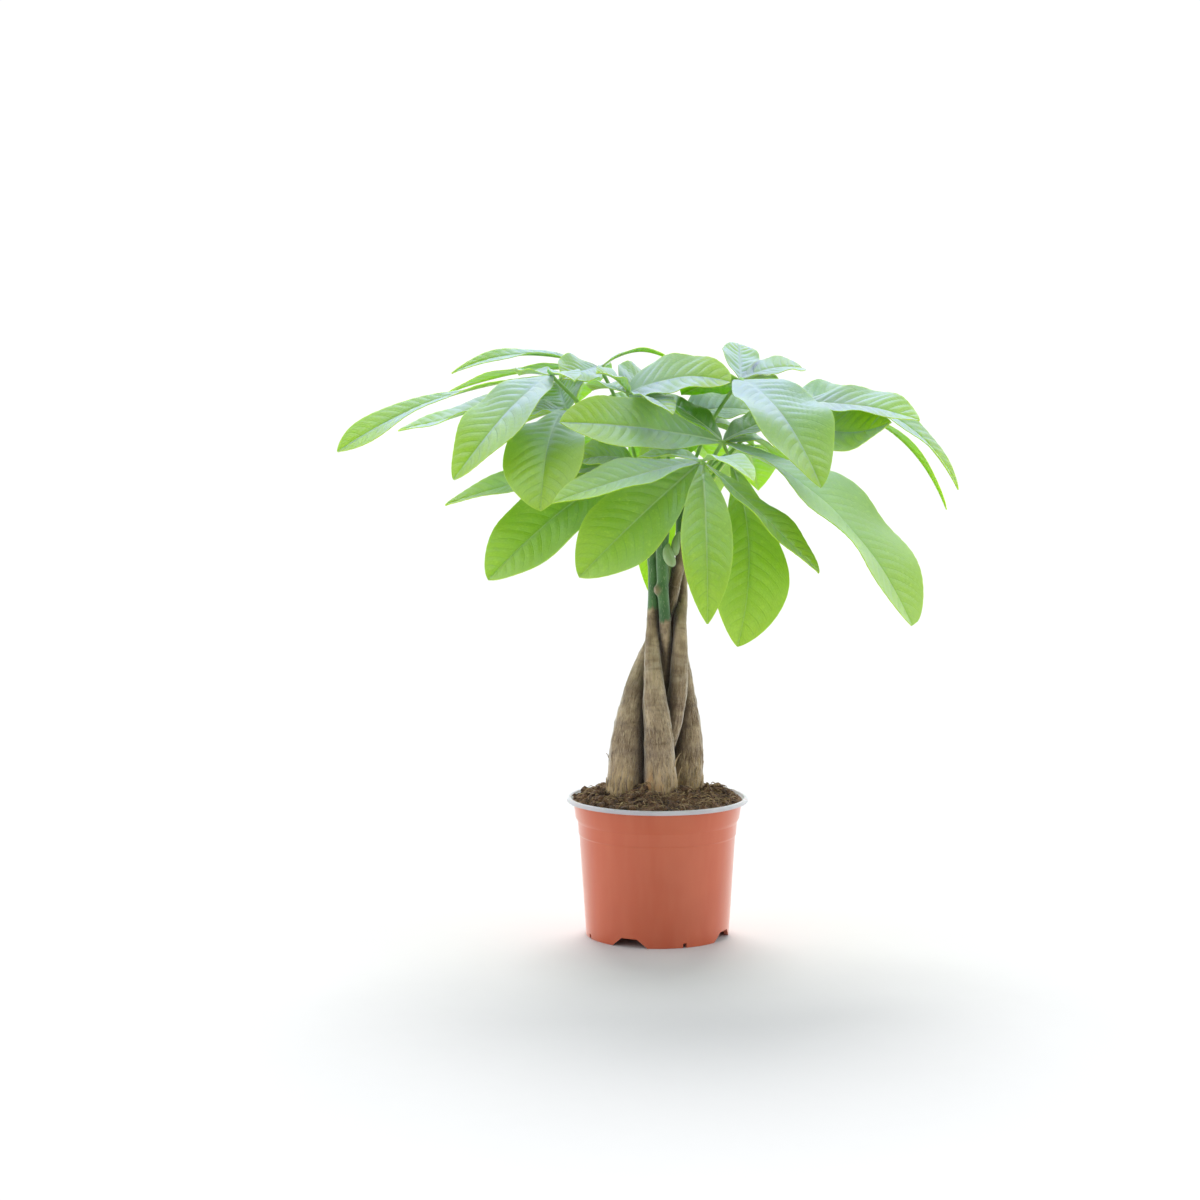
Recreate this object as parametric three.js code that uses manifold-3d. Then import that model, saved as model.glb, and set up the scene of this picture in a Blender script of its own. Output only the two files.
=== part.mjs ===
// A potted money tree: five braided stems in a thin terracotta-coloured grower's pot, carrying
// a crown of palmate leaves. Millimetres, +Z up, the front of the plant faces -Y. The origin is
// the centre of the pot's foot, on the surface that the pot stands on.
import * as THREE from "three";
import { mergeVertices } from "three/addons/utils/BufferGeometryUtils.js";
import Module from "manifold-3d";

const wasm = await Module();
wasm.setup();

// ---- driving dimensions ---------------------------------------------------------------------
const CLEARANCE = 0.3; // left between pieces that touch on the real plant

const POT_HEIGHT = 92;
const LIP_RADIUS = 60;
const LIP_HEIGHT = 2.8;
const LIP_WIDTH = 2.2;
const LIP_FALL = 1.2; // the lip's inner edge drops this far to the pot's mouth
const MOUTH_RADIUS = 56.8;
const LIP_EDGE = 0.8; // the lip's edges are broken by this much
const WALL = 1.3;
const COLLAR_TOP_RADIUS = 55.6;
const COLLAR_FOOT_RADIUS = 54.2;
const COLLAR_FOOT_Z = 78.5;
const BODY_TOP_RADIUS = 52.2;
const BODY_TOP_Z = 75.5;
const RING_Z = 67.5;
const RING_STEP = 0.45; // the wall is this much fuller above the ring
const RING_BEVEL = 1;
const FOOT_RADIUS = 47.3;
const FOOT_WIDTH = 2.6;
const FLOOR_Z = 6.5; // underside of the raised floor
const POT_SIDES = 48;

const NOTCH_COUNT = 4;
const NOTCH_TURN = -24; // degrees round from the front, at the first notch
const NOTCH_WIDTH = 25; // at the foot
const NOTCH_HEIGHT = 5.8;
const NOTCH_SLANT = 7;
const SLIT_TURN = 21;
const SLIT_WIDTH = 2.5;
const SLIT_HEIGHT = 3;
const DRAIN_COUNT = 8;
const DRAIN_RADIUS = 4;
const DRAIN_CIRCLE = 33;
const DRAIN_SIDES = 12;
const CUTTER_REACH = 6; // a cutter runs this far past what it cuts

const SOIL_EDGE_Z = 90.2;
const SOIL_EDGE_RADIUS = 55.7;
const SOIL_MOUND = 6.5;
const SOIL_LUMP = 1.5;
const SOIL_RINGS = 6;
const LUMPS_X = 0.41; // waves per millimetre, in radians, of the lumps along x and y
const LUMPS_Y = 0.37;
const LUMPS_SLANT = 0.53;
const BURIED_Z = 55; // depth at which the stems end in the soil

const STEM_SIDES = 10;
const STEM_STEPS = 19;
const FOOT_CIRCLE = 2.4; // the leaf stalks stand on this circle on a stem's flat top
const STALK_FOOT_RADIUS = 1.75;
const STALK_RADIUS = 1.25;
const STALK_SIDES = 6;
const STALK_STEPS = 8;
const STALK_LEAN = 0.3; // share of its run, and of its climb, at which a stalk bends over
const STALK_CLIMB = 0.62;
const STALK_FOOT_TAPER = 6;
const HUB_RADIUS = 2.6;
const HUB_SIDES = 6;

const BLADE_THICKNESS = 0.8;
const BLADE_ROWS = 8;
const BLADE_COLUMNS = 2;
const BLADE_ROOT_WIDTH = 2.6;
const BLADE_FOLD = 12; // degrees that each half rises from the midrib
const BLADE_WIDEST = 0.56; // share of the length at which a leaflet is widest
const BLADE_FULLNESS = 0.8; // the lower it is, the blunter a leaflet's ends
const BLADE_WAVES = 2.3;
const BLADE_WAVE_SHARE = 0.045; // height of the waved edge as a share of the width

// ---- the five stems, from the soil to their tops --------------------------------------------
// Each point is [x, y, z, radius]. They cross over each other twice between z = 120 and 240.
const STEMS = {
  stem_left: [
    [-20, -8, BURIED_Z, 9], [-21.1, -9, 92, 13], [-19.3, -6, 129, 11.6], [-14.5, 1.5, 156, 9.4],
    [-6, 14, 182, 7.2], [4, 6.8, 209, 4.9], [8.7, 2.4, 222, 4.1], [12.5, 0.6, 239, 3.8], [17, -1, 256, 3.7],
    [24, -3, 284, 4.3],
  ],
  stem_front: [
    [2, -16, BURIED_Z, 8.5], [1.9, -17, 92, 10.8], [0.5, -15.4, 129, 9.9], [-2.4, -9.8, 162, 7.3],
    [-3.6, -3, 189, 4.9], [-3.1, 0, 209, 4], [-3, 0.5, 229, 3.5], [-3.5, 1, 249, 3.4], [-12, -1, 282, 4.3],
  ],
  stem_right: [
    [19.3, 8, BURIED_Z, 8.6], [19.3, 8, 92, 11], [20.6, 12.8, 129, 10], [17.3, 14.6, 160, 7.6],
    [13.5, 14.2, 189, 6], [12, 13.8, 209, 5], [8, 15, 222, 4.4], [4, 13, 239, 4], [0, 13, 256, 3.8],
    [-8, 21, 286, 4.3],
  ],
  stem_crossing: [
    [-11, 17, BURIED_Z, 7], [-10, 17, 92, 8.5], [-1, 9, 110, 6.5], [7, 2, 129, 5.5], [13, -1, 160, 6.6],
    [14.5, -1.4, 189, 5.2], [14.6, -1, 209, 4.2], [16.2, 8.2, 222, 3.7], [16, 10.4, 239, 3.6],
    [15.4, 12.4, 256, 3.5], [17, 21, 288, 4.3],
  ],
  stem_back: [
    [9, 29, BURIED_Z, 8], [9, 30, 92, 10.4], [4, 25, 129, 8.3], [4, 11.5, 160, 5.9], [5.4, 4.8, 186, 4.1],
    [4.6, -4.4, 209, 3.8], [3.2, -5.6, 229, 3.7], [2.7, -6, 245, 4], [2.4, -7.6, 256, 3.8],
    [4, -14, 278, 4.3],
  ],
};

// ---- the leaves ------------------------------------------------------------------------------
// A leaf has a hub at the top of its stalk, and leaflets that run from the hub to their tips.
// foot is the direction, in degrees, of the stalk's foot on the flat top of its stem. arch lifts
// the middle of a leaflet off the straight line, sway bends it to its own right, roll turns its
// face to its own right, and twist is how much further its tip is turned than its root. widest is
// the share of the length at which it is widest, and a lower fullness makes its ends blunter.
const LEAVES = [
  {
    node: "leaf_front", stem: "stem_back", foot: -70, hub: [26, -60, 315],
    leaflets: [
      { tip: [-67, -100, 291], width: 34, arch: 3, sway: -2, roll: -25 },
      { tip: [-51, -84, 244], width: 50, arch: 1, sway: 2, roll: -58, widest: 0.6, fullness: 0.7 },
      { tip: [28, -108, 217], width: 33, arch: 14 },
      { tip: [97, -100, 248], width: 28, arch: 2, roll: 10, widest: 0.62 },
      { tip: [54, -136, 306], width: 20, arch: 7 },
      { tip: [-20, -39, 313], width: 20, arch: 5, roll: -14 },
    ],
  },
  {
    node: "leaf_right_front", stem: "stem_left", foot: -60, hub: [41, -22, 326],
    leaflets: [
      { tip: [-63, -67, 340], width: 44, arch: 3, roll: -50, widest: 0.6, fullness: 0.66 },
      { tip: [155, -97, 215], width: 76, arch: 18, sway: -3, widest: 0.6, fullness: 0.56 },
      { tip: [49, -62, 198], width: 51, arch: 12, sway: -9, roll: -8, widest: 0.7 },
      { tip: [-6, 22, 357], width: 32, arch: 4 },
      { tip: [82, 8, 305], width: 46, arch: 12, roll: 22 },
      { tip: [86, 0, 345], width: 32, arch: 2, roll: 15 },
    ],
  },
  {
    node: "leaf_top", stem: "stem_crossing", foot: -80, hub: [53, -12, 366],
    leaflets: [
      { tip: [55, 34, 390], width: 26, arch: 2, roll: 15 },
      { tip: [96, 24, 374], width: 23, arch: 4, roll: 25, widest: 0.68, fullness: 0.45 },
      { tip: [99, -88, 300], width: 58, arch: 14, sway: 4, roll: 5, widest: 0.5, fullness: 0.74 },
      { tip: [16, 22, 357], width: 38, arch: 3, roll: 30 },
      { tip: [80, 12, 361], width: 17, arch: 3, roll: -10 },
    ],
  },
  {
    node: "leaf_centre", stem: "stem_back", foot: 60, hub: [-19, -15, 357],
    leaflets: [
      { tip: [45, -37, 365], width: 41, arch: 7, roll: 38, widest: 0.42, fullness: 0.48 },
      { tip: [8, -58, 345], width: 22, arch: 4 },
      { tip: [-40, -33, 371], width: 24, arch: 4, roll: -20 },
      { tip: [-43, 20, 360], width: 34, arch: 3 },
      { tip: [-3, 24, 366], width: 38, arch: 3, roll: 35, widest: 0.5, fullness: 0.6 },
    ],
  },
  {
    node: "leaf_inner", stem: "stem_front", foot: 0, hub: [16, 26, 342],
    leaflets: [
      { tip: [68, 46, 345], width: 50, arch: 4, roll: 25, widest: 0.6, fullness: 0.6 },
      { tip: [22, 62, 316], width: 34, arch: 8 },
      { tip: [66, 54, 322], width: 42, arch: 4, roll: 20 },
      { tip: [-13, 0, 336], width: 22, arch: 5 },
      { tip: [-38, 62, 352], width: 32, arch: 4, roll: -20 },
    ],
  },
  {
    node: "leaf_left", stem: "stem_front", foot: -140, hub: [-70, -5, 369],
    leaflets: [
      { tip: [-205, -45, 321], width: 24, arch: 10, roll: -12, widest: 0.79, twist: -70 },
      { tip: [-172, 25, 333], width: 28, arch: -4, roll: -20, widest: 0.6 },
      { tip: [-130, -68, 304], width: 47, arch: 13, sway: -13, roll: -10, fullness: 0.72 },
      { tip: [-92, 40, 370], width: 22, arch: 2 },
      { tip: [-54, -48, 366], width: 20, arch: 3 },
    ],
  },
  {
    node: "leaf_left_low", stem: "stem_front", foot: 110, hub: [-60, 5, 346],
    leaflets: [
      { tip: [-75, -78, 285], width: 54, arch: 16, sway: 1, widest: 0.68, fullness: 0.7, twist: 12 },
      { tip: [-92, 0, 341], width: 28, arch: 3, roll: -15 },
      { tip: [-68, 43, 365], width: 36, arch: 2, roll: -30, fullness: 0.5 },
      { tip: [-110, 35, 320], width: 30, arch: 7 },
    ],
  },
  {
    node: "leaf_left_front", stem: "stem_back", foot: 180, hub: [-16, -20, 313],
    leaflets: [
      { tip: [-109, -55, 240], width: 49, arch: 5, roll: -45, widest: 0.6, fullness: 0.66 },
      { tip: [-138, -24, 286], width: 32, arch: 4, roll: -22 },
      { tip: [-52, -24, 314], width: 34, arch: 4, roll: -30, fullness: 0.65 },
    ],
  },
  {
    node: "leaf_right", stem: "stem_left", foot: 60, hub: [88, 42, 350],
    leaflets: [
      { tip: [146, 72, 356], width: 34, arch: 2, roll: 22, widest: 0.5, fullness: 0.6 },
      { tip: [171, 2, 340], width: 44, arch: 5, roll: 20, widest: 0.58 },
      { tip: [152, 0, 339], width: 46, arch: -12, roll: 45, widest: 0.52, fullness: 0.7 },
      { tip: [203, 42, 293], width: 29, arch: 24, roll: 22 },
      { tip: [200, 75, 278], width: 14, arch: 24 },
      { tip: [125, 118, 325], width: 34, arch: 9 },
    ],
  },
  {
    node: "leaf_back_top", stem: "stem_right", foot: 250, hub: [-38, 40, 374],
    leaflets: [
      { tip: [-137, 35, 371], width: 16, arch: 11, roll: -18, widest: 0.62, fullness: 1, twist: -40 },
      { tip: [10, 66, 380], width: 8, arch: 9, roll: -8 },
      { tip: [-62, 10, 367], width: 32, arch: 2, roll: -30 },
      { tip: [-55, 125, 350], width: 36, arch: 9 },
      { tip: [-141, 66, 358], width: 26, arch: 6 },
    ],
  },
  {
    node: "leaf_back", stem: "stem_crossing", foot: 150, hub: [-5, 70, 338],
    leaflets: [
      { tip: [-2, 92, 216], width: 32, arch: 18 },
      { tip: [-52, 130, 296], width: 36, arch: 10 },
      { tip: [48, 136, 300], width: 38, arch: 11 },
      { tip: [0, 140, 280], width: 34, arch: 14 },
    ],
  },
  {
    node: "leaf_back_right", stem: "stem_crossing", foot: 40, hub: [58, 58, 322],
    leaflets: [
      { tip: [112, 92, 285], width: 34, arch: 9 },
      { tip: [74, 130, 289], width: 36, arch: 9 },
      { tip: [106, 38, 292], width: 28, arch: 6 },
      { tip: [28, 108, 258], width: 30, arch: 9 },
    ],
  },
  {
    node: "leaf_back_left", stem: "stem_right", foot: 130, hub: [-58, 60, 312],
    leaflets: [
      { tip: [-104, 70, 294], width: 34, arch: 9 },
      { tip: [-80, 125, 262], width: 36, arch: 10 },
      { tip: [-30, 112, 248], width: 32, arch: 10 },
      { tip: [-80, 20, 272], width: 30, arch: 8 },
    ],
  },
];

// ---- helpers ---------------------------------------------------------------------------------
const toRadians = THREE.MathUtils.degToRad;
const UP = new THREE.Vector3(0, 0, 1);

function toManifold(geometry) {
  const bare = geometry.clone();
  bare.deleteAttribute("normal");
  bare.deleteAttribute("uv");
  const merged = mergeVertices(bare, 1e-4);
  return new wasm.Manifold(new wasm.Mesh({
    numProp: 3,
    vertProperties: new Float32Array(merged.attributes.position.array),
    triVerts: new Uint32Array(merged.index.array),
  }));
}

function toGeometry(solid) {
  const mesh = solid.getMesh();
  const geometry = new THREE.BufferGeometry();
  geometry.setAttribute("position", new THREE.BufferAttribute(mesh.vertProperties, 3));
  geometry.setIndex(new THREE.BufferAttribute(mesh.triVerts, 1));
  geometry.computeVertexNormals();
  return geometry;
}

function fuse(geometries) {
  return geometries.map(toManifold).reduce((whole, piece) => whole.add(piece));
}

// A round limb along a curve: a cylinder whose rings are carried along the curve. Its foot is
// level, and its end too where endLevel says so.
function limbGeometry(curve, radiusAt, sides, steps, endLevel) {
  const limb = new THREE.CylinderGeometry(1, 1, 1, sides, steps);
  const { normals, binormals } = curve.computeFrenetFrames(steps);
  const position = limb.attributes.position;
  for (let i = 0; i < position.count; i += 1) {
    const share = 0.5 - position.getY(i);
    const ring = Math.round(share * steps);
    const point = curve.getPointAt(share);
    const level = point.z;
    point.addScaledVector(normals[ring], position.getX(i) * radiusAt(share));
    point.addScaledVector(binormals[ring], position.getZ(i) * radiusAt(share));
    if (ring === 0 || (ring === steps && endLevel)) point.z = level;
    position.setXYZ(i, point.x, point.y, point.z);
  }
  return limb;
}

// ---- the pot ---------------------------------------------------------------------------------
function potWallRadius(z) {
  return THREE.MathUtils.mapLinear(z, 0, BODY_TOP_Z, FOOT_RADIUS, BODY_TOP_RADIUS);
}

function potProfile() {
  const floorTop = FLOOR_Z + WALL;
  const lipFoot = POT_HEIGHT - LIP_HEIGHT;
  const outside = [
    [FOOT_RADIUS - FOOT_WIDTH, 0],
    [FOOT_RADIUS, 0],
    [potWallRadius(RING_Z - RING_BEVEL), RING_Z - RING_BEVEL],
    [potWallRadius(RING_Z) + RING_STEP, RING_Z],
    [BODY_TOP_RADIUS + RING_STEP, BODY_TOP_Z],
    [COLLAR_FOOT_RADIUS, COLLAR_FOOT_Z],
    [COLLAR_TOP_RADIUS, lipFoot - LIP_EDGE],
    [LIP_RADIUS - LIP_EDGE, lipFoot],
    [LIP_RADIUS, lipFoot + LIP_EDGE],
    [LIP_RADIUS, POT_HEIGHT - LIP_EDGE],
    [LIP_RADIUS - LIP_EDGE, POT_HEIGHT],
    [LIP_RADIUS - LIP_WIDTH, POT_HEIGHT],
  ];
  const inside = [
    [MOUTH_RADIUS, POT_HEIGHT - LIP_FALL],
    [COLLAR_TOP_RADIUS - WALL, lipFoot - LIP_EDGE],
    [COLLAR_FOOT_RADIUS - WALL, COLLAR_FOOT_Z],
    [BODY_TOP_RADIUS - WALL, BODY_TOP_Z],
    [potWallRadius(floorTop) - WALL, floorTop],
    [0, floorTop],
  ];
  const underside = [
    [0, FLOOR_Z],
    [FOOT_RADIUS - FOOT_WIDTH, FLOOR_Z],
    [FOOT_RADIUS - FOOT_WIDTH, 0],
  ];
  return [...outside, ...inside, ...underside].map(([radius, z]) => new THREE.Vector2(radius, z));
}

// A block that stands across the foot ring, with its sides slanted in towards its top.
function footCutter(width, height, slant) {
  const outline = new THREE.Shape();
  const flare = (slant / height) * CUTTER_REACH;
  outline.moveTo(-width / 2 - flare, -CUTTER_REACH);
  outline.lineTo(width / 2 + flare, -CUTTER_REACH);
  outline.lineTo(width / 2 - slant, height);
  outline.lineTo(slant - width / 2, height);
  outline.closePath();
  const block = new THREE.ExtrudeGeometry(outline, { depth: 2 * CUTTER_REACH, bevelEnabled: false });
  block.rotateX(Math.PI / 2);
  return block.translate(0, CUTTER_REACH - FOOT_RADIUS, 0);
}

function potGeometry() {
  const shell = new THREE.LatheGeometry(potProfile(), POT_SIDES).rotateX(Math.PI / 2);
  let pot = toManifold(shell);
  for (let k = 0; k < NOTCH_COUNT; k += 1) {
    const turn = (360 / NOTCH_COUNT) * k;
    const notch = footCutter(NOTCH_WIDTH, NOTCH_HEIGHT, NOTCH_SLANT);
    pot = pot.subtract(toManifold(notch.rotateZ(toRadians(NOTCH_TURN + turn))));
    const slit = footCutter(SLIT_WIDTH, SLIT_HEIGHT, 0);
    pot = pot.subtract(toManifold(slit.rotateZ(toRadians(SLIT_TURN + turn))));
  }
  for (let k = 0; k < DRAIN_COUNT; k += 1) {
    const drain = new THREE.CylinderGeometry(DRAIN_RADIUS, DRAIN_RADIUS, CUTTER_REACH, DRAIN_SIDES);
    drain.rotateX(Math.PI / 2).translate(DRAIN_CIRCLE, 0, FLOOR_Z);
    pot = pot.subtract(toManifold(drain.rotateZ(toRadians((360 / DRAIN_COUNT) * k))));
  }
  return toGeometry(pot);
}

// ---- the stems -------------------------------------------------------------------------------
// extra widens the stem and carries it lower, to cut the hole that it stands in.
function stemGeometry(points, extra = 0) {
  const curve = new THREE.CatmullRomCurve3(points.map(([x, y, z]) => new THREE.Vector3(x, y, z)));
  const lastSpan = points.length - 1;
  const radiusAt = (share) => {
    const place = curve.getUtoTmapping(share) * lastSpan;
    const span = Math.min(Math.floor(place), lastSpan - 1);
    return THREE.MathUtils.lerp(points[span][3], points[span + 1][3], place - span) + extra;
  };
  const stem = limbGeometry(curve, radiusAt, STEM_SIDES, STEM_STEPS, true);
  const position = stem.attributes.position;
  for (let i = 0; i < position.count; i += 1) {
    if (position.getZ(i) < BURIED_Z + CLEARANCE) position.setZ(i, BURIED_Z - extra);
  }
  return stem;
}

// ---- the soil --------------------------------------------------------------------------------
// The soil's height at a place: a mound round the stems with crumbs all over.
function soilTop(x, y) {
  const share = Math.hypot(x, y) / SOIL_EDGE_RADIUS;
  const mound = SOIL_MOUND * Math.max(0, 1 - share * share);
  const crumbs = Math.sin(LUMPS_X * x + 1) * Math.cos(LUMPS_Y * y) + Math.sin(LUMPS_SLANT * (x - y)) / 2;
  return SOIL_EDGE_Z + mound + SOIL_LUMP * crumbs * (1 - share);
}

function soilGeometry() {
  const floorTop = FLOOR_Z + WALL + CLEARANCE;
  const collarRadius = COLLAR_FOOT_RADIUS - WALL - CLEARANCE;
  const stepRadius = BODY_TOP_RADIUS - WALL - CLEARANCE;
  const profile = [[0, floorTop], [potWallRadius(floorTop) - WALL - CLEARANCE, floorTop]];
  profile.push([stepRadius, BODY_TOP_Z], [collarRadius, COLLAR_FOOT_Z]);
  profile.push([COLLAR_TOP_RADIUS - WALL - CLEARANCE, POT_HEIGHT - LIP_HEIGHT - LIP_EDGE]);
  profile.push([SOIL_EDGE_RADIUS, SOIL_EDGE_Z]);
  for (let ring = SOIL_RINGS - 1; ring >= 0; ring -= 1) {
    profile.push([(SOIL_EDGE_RADIUS * ring) / SOIL_RINGS, POT_HEIGHT]);
  }
  const points = profile.map(([radius, z]) => new THREE.Vector2(radius, z));
  const soil = new THREE.LatheGeometry(points, POT_SIDES).rotateX(Math.PI / 2);
  const position = soil.attributes.position;
  for (let i = 0; i < position.count; i += 1) {
    if (position.getZ(i) > SOIL_EDGE_Z + CLEARANCE) {
      position.setZ(i, soilTop(position.getX(i), position.getY(i)));
    }
  }
  const holes = Object.values(STEMS).map((points) => stemGeometry(points, CLEARANCE));
  return toGeometry(holes.reduce((body, hole) => body.subtract(toManifold(hole)), toManifold(soil)));
}

// ---- the leaves ------------------------------------------------------------------------------
// Half the width of a leaflet, as a share of its greatest half width, from root to tip.
function bladeOutline(share, { widest = BLADE_WIDEST, fullness = BLADE_FULLNESS }) {
  const peak = Math.log(0.5) / Math.log(widest);
  return Math.sin(Math.PI * share ** peak) ** fullness;
}

function bladeSpine(hub, { tip, arch = 0, sway = 0 }) {
  const start = new THREE.Vector3(...hub);
  const end = new THREE.Vector3(...tip);
  const chord = end.clone().sub(start);
  const right = new THREE.Vector3(chord.x, chord.y, 0).normalize().cross(UP);
  const lift = right.clone().cross(chord).normalize();
  const middle = start.clone().lerp(end, 0.5).addScaledVector(lift, 2 * arch);
  middle.addScaledVector(right, 2 * sway);
  return { curve: new THREE.QuadraticBezierCurve3(start, middle, end), right };
}

// The edge of a grid of points, all the way round, counted anticlockwise.
function gridRim(columns, rows) {
  const stride = columns + 1;
  const rim = [];
  for (let column = 0; column < columns; column += 1) rim.push(rows * stride + column);
  for (let row = rows; row > 0; row -= 1) rim.push(row * stride + columns);
  for (let column = columns; column > 0; column -= 1) rim.push(column);
  for (let row = 0; row < rows; row += 1) rim.push(row * stride);
  return rim;
}

// A thin blade: a flat grid, bent along the leaflet's spine, doubled and closed round its rim.
function bladeGeometry(hub, leaflet, phase) {
  const { width, roll = 0, twist = 0 } = leaflet;
  const grid = new THREE.PlaneGeometry(2, 1, BLADE_COLUMNS, BLADE_ROWS);
  const { curve, right } = bladeSpine(hub, leaflet);
  const fold = toRadians(BLADE_FOLD);
  const faces = { top: [], bottom: [] };
  for (let i = 0; i < grid.attributes.position.count; i += 1) {
    const across = grid.attributes.position.getX(i);
    const share = THREE.MathUtils.clamp(grid.attributes.position.getY(i) + 0.5, 0, 1);
    const ahead = curve.getTangent(share);
    const flatUp = right.clone().cross(ahead).normalize();
    const flatRight = ahead.clone().cross(flatUp);
    const lean = toRadians(roll + twist * (share - 0.5));
    const up = flatUp.clone().multiplyScalar(Math.cos(lean)).addScaledVector(flatRight, Math.sin(lean));
    const side = ahead.clone().cross(up);
    const narrowest = THREE.MathUtils.lerp(BLADE_ROOT_WIDTH, BLADE_THICKNESS, share);
    const reach = 0.5 * Math.max(narrowest, width * bladeOutline(share, leaflet)) * across;
    const turn = 2 * Math.PI * BLADE_WAVES * share + phase + across;
    const wave = BLADE_WAVE_SHARE * width * Math.sin(turn) * Math.sin(Math.PI * share);
    const rise = Math.abs(reach) * Math.sin(fold) + wave * Math.abs(across);
    const point = curve.getPoint(share).addScaledVector(side, reach * Math.cos(fold));
    point.addScaledVector(up, rise);
    faces.top.push(...point.clone().addScaledVector(up, BLADE_THICKNESS / 2));
    faces.bottom.push(...point.clone().addScaledVector(up, -BLADE_THICKNESS / 2));
  }
  const count = grid.attributes.position.count;
  const topIndex = [...grid.index.array];
  const index = [...topIndex, ...topIndex.map((vertex) => vertex + count).reverse()];
  const rim = gridRim(BLADE_COLUMNS, BLADE_ROWS);
  rim.forEach((from, place) => {
    const to = rim[(place + 1) % rim.length];
    index.push(to, from, from + count, to, from + count, to + count);
  });
  const blade = new THREE.BufferGeometry();
  blade.setAttribute("position", new THREE.Float32BufferAttribute([...faces.top, ...faces.bottom], 3));
  blade.setIndex(index);
  return blade;
}

function stalkGeometry({ stem, foot, hub }) {
  const [x, y, z] = STEMS[stem].at(-1);
  const angle = toRadians(foot);
  const start = new THREE.Vector3(x, y, z + CLEARANCE);
  start.x += FOOT_CIRCLE * Math.cos(angle);
  start.y += FOOT_CIRCLE * Math.sin(angle);
  const end = new THREE.Vector3(...hub);
  const bend = start.clone().lerp(end, STALK_LEAN);
  bend.z = THREE.MathUtils.lerp(start.z, end.z, STALK_CLIMB);
  const curve = new THREE.QuadraticBezierCurve3(start, bend, end);
  const radiusAt = (share) => {
    return THREE.MathUtils.lerp(STALK_RADIUS, STALK_FOOT_RADIUS, (1 - share) ** STALK_FOOT_TAPER);
  };
  return limbGeometry(curve, radiusAt, STALK_SIDES, STALK_STEPS, false);
}

function leafGeometry(leaf, order) {
  const knob = new THREE.SphereGeometry(HUB_RADIUS, HUB_SIDES, HUB_SIDES - 2).translate(...leaf.hub);
  const blades = leaf.leaflets.map((leaflet, place) => bladeGeometry(leaf.hub, leaflet, order + 2 * place));
  return toGeometry(fuse([knob, stalkGeometry(leaf), ...blades]));
}

// ---- the whole plant -------------------------------------------------------------------------
const plant = new THREE.Group();

function addPart(name, geometry, color, roughness) {
  const part = new THREE.Mesh(geometry, new THREE.MeshStandardMaterial({ color, roughness, metalness: 0 }));
  part.name = name;
  plant.add(part);
}

addPart("pot", potGeometry(), 0xc26a4f, 0.45);
addPart("soil", soilGeometry(), 0x4a3527, 0.95);
Object.entries(STEMS).forEach(([name, points]) => addPart(name, stemGeometry(points), 0x9c8465, 0.85));
LEAVES.forEach((leaf, order) => addPart(leaf.node, leafGeometry(leaf, order), 0x7cb84a, 0.4));

export default plant;
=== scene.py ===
"""A potted money tree: five braided stems in peat, in a thin terracotta-coloured grower's pot,
under a crown of palmate leaves.

Metres, +Z up, the front of the plant faces -Y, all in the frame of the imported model. Each piece
stands for a node of that model, keeps its form, and adds what shows from close by: veins and
puckers in the leaflets, bark on the stems, crumbs and fibres on the peat, rounded edges and a pale
lip on the pot.
"""
import math
import random
from dataclasses import dataclass

import bmesh
import bpy
import numpy as np
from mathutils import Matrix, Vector, noise


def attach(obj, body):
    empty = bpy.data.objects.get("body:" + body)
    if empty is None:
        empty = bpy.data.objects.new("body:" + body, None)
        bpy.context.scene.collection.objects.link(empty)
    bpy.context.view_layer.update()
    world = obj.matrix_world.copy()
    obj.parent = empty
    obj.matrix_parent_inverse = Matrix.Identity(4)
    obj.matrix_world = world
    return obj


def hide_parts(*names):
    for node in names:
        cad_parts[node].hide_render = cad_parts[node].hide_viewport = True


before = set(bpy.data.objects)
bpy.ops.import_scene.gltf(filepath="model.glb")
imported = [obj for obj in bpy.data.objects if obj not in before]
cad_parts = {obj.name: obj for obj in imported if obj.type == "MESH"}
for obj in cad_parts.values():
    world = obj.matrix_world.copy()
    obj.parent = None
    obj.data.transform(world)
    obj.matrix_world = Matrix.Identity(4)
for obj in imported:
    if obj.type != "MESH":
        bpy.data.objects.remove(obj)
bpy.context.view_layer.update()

MM = 0.001

# ---- the pot, in millimetres
POT_HEIGHT = 92
LIP_RADIUS = 60
LIP_HEIGHT = 2.8
LIP_WIDTH = 2.2
LIP_FALL = 1.2  # the lip's inner edge drops this far to the pot's mouth
MOUTH_RADIUS = 56.8
LIP_EDGE = 0.8
LIP_ROUND_ACROSS = 0.3
LIP_ROUND_UP = 0.4
COLLAR_FLARE = 0.9  # the collar spreads this far right under the lip
WALL = 1.3
COLLAR_TOP_RADIUS = 55.6
COLLAR_FOOT_RADIUS = 54.2
COLLAR_FOOT_Z = 78.5
BODY_TOP_RADIUS = 52.2
BODY_TOP_Z = 75.5
RING_Z = 67.5
RING_STEP = 0.45
RING_BEVEL = 1
FOOT_RADIUS = 47.3
FOOT_WIDTH = 2.6
FLOOR_Z = 6.5
POT_SIDES = 160
POT_EDGE_ROUND = 0.35
WALL_RINGS = range(8, 64, 8)  # heights of the rings of vertices in the plain wall
NOTCH_COUNT = 4
NOTCH_TURN = -24
NOTCH_WIDTH = 25  # at the foot
NOTCH_HEIGHT = 5.8
NOTCH_SLANT = 7
SLIT_TURN = 21
SLIT_WIDTH = 2.5
SLIT_HEIGHT = 3
DRAIN_COUNT = 8
DRAIN_RADIUS = 4
DRAIN_CIRCLE = 33
DRAIN_SIDES = 32
DRAIN_DEPTH = 6  # of the cutter
CUTTER_REACH = 6  # the cutters of the notches and slits run this far past the foot
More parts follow.
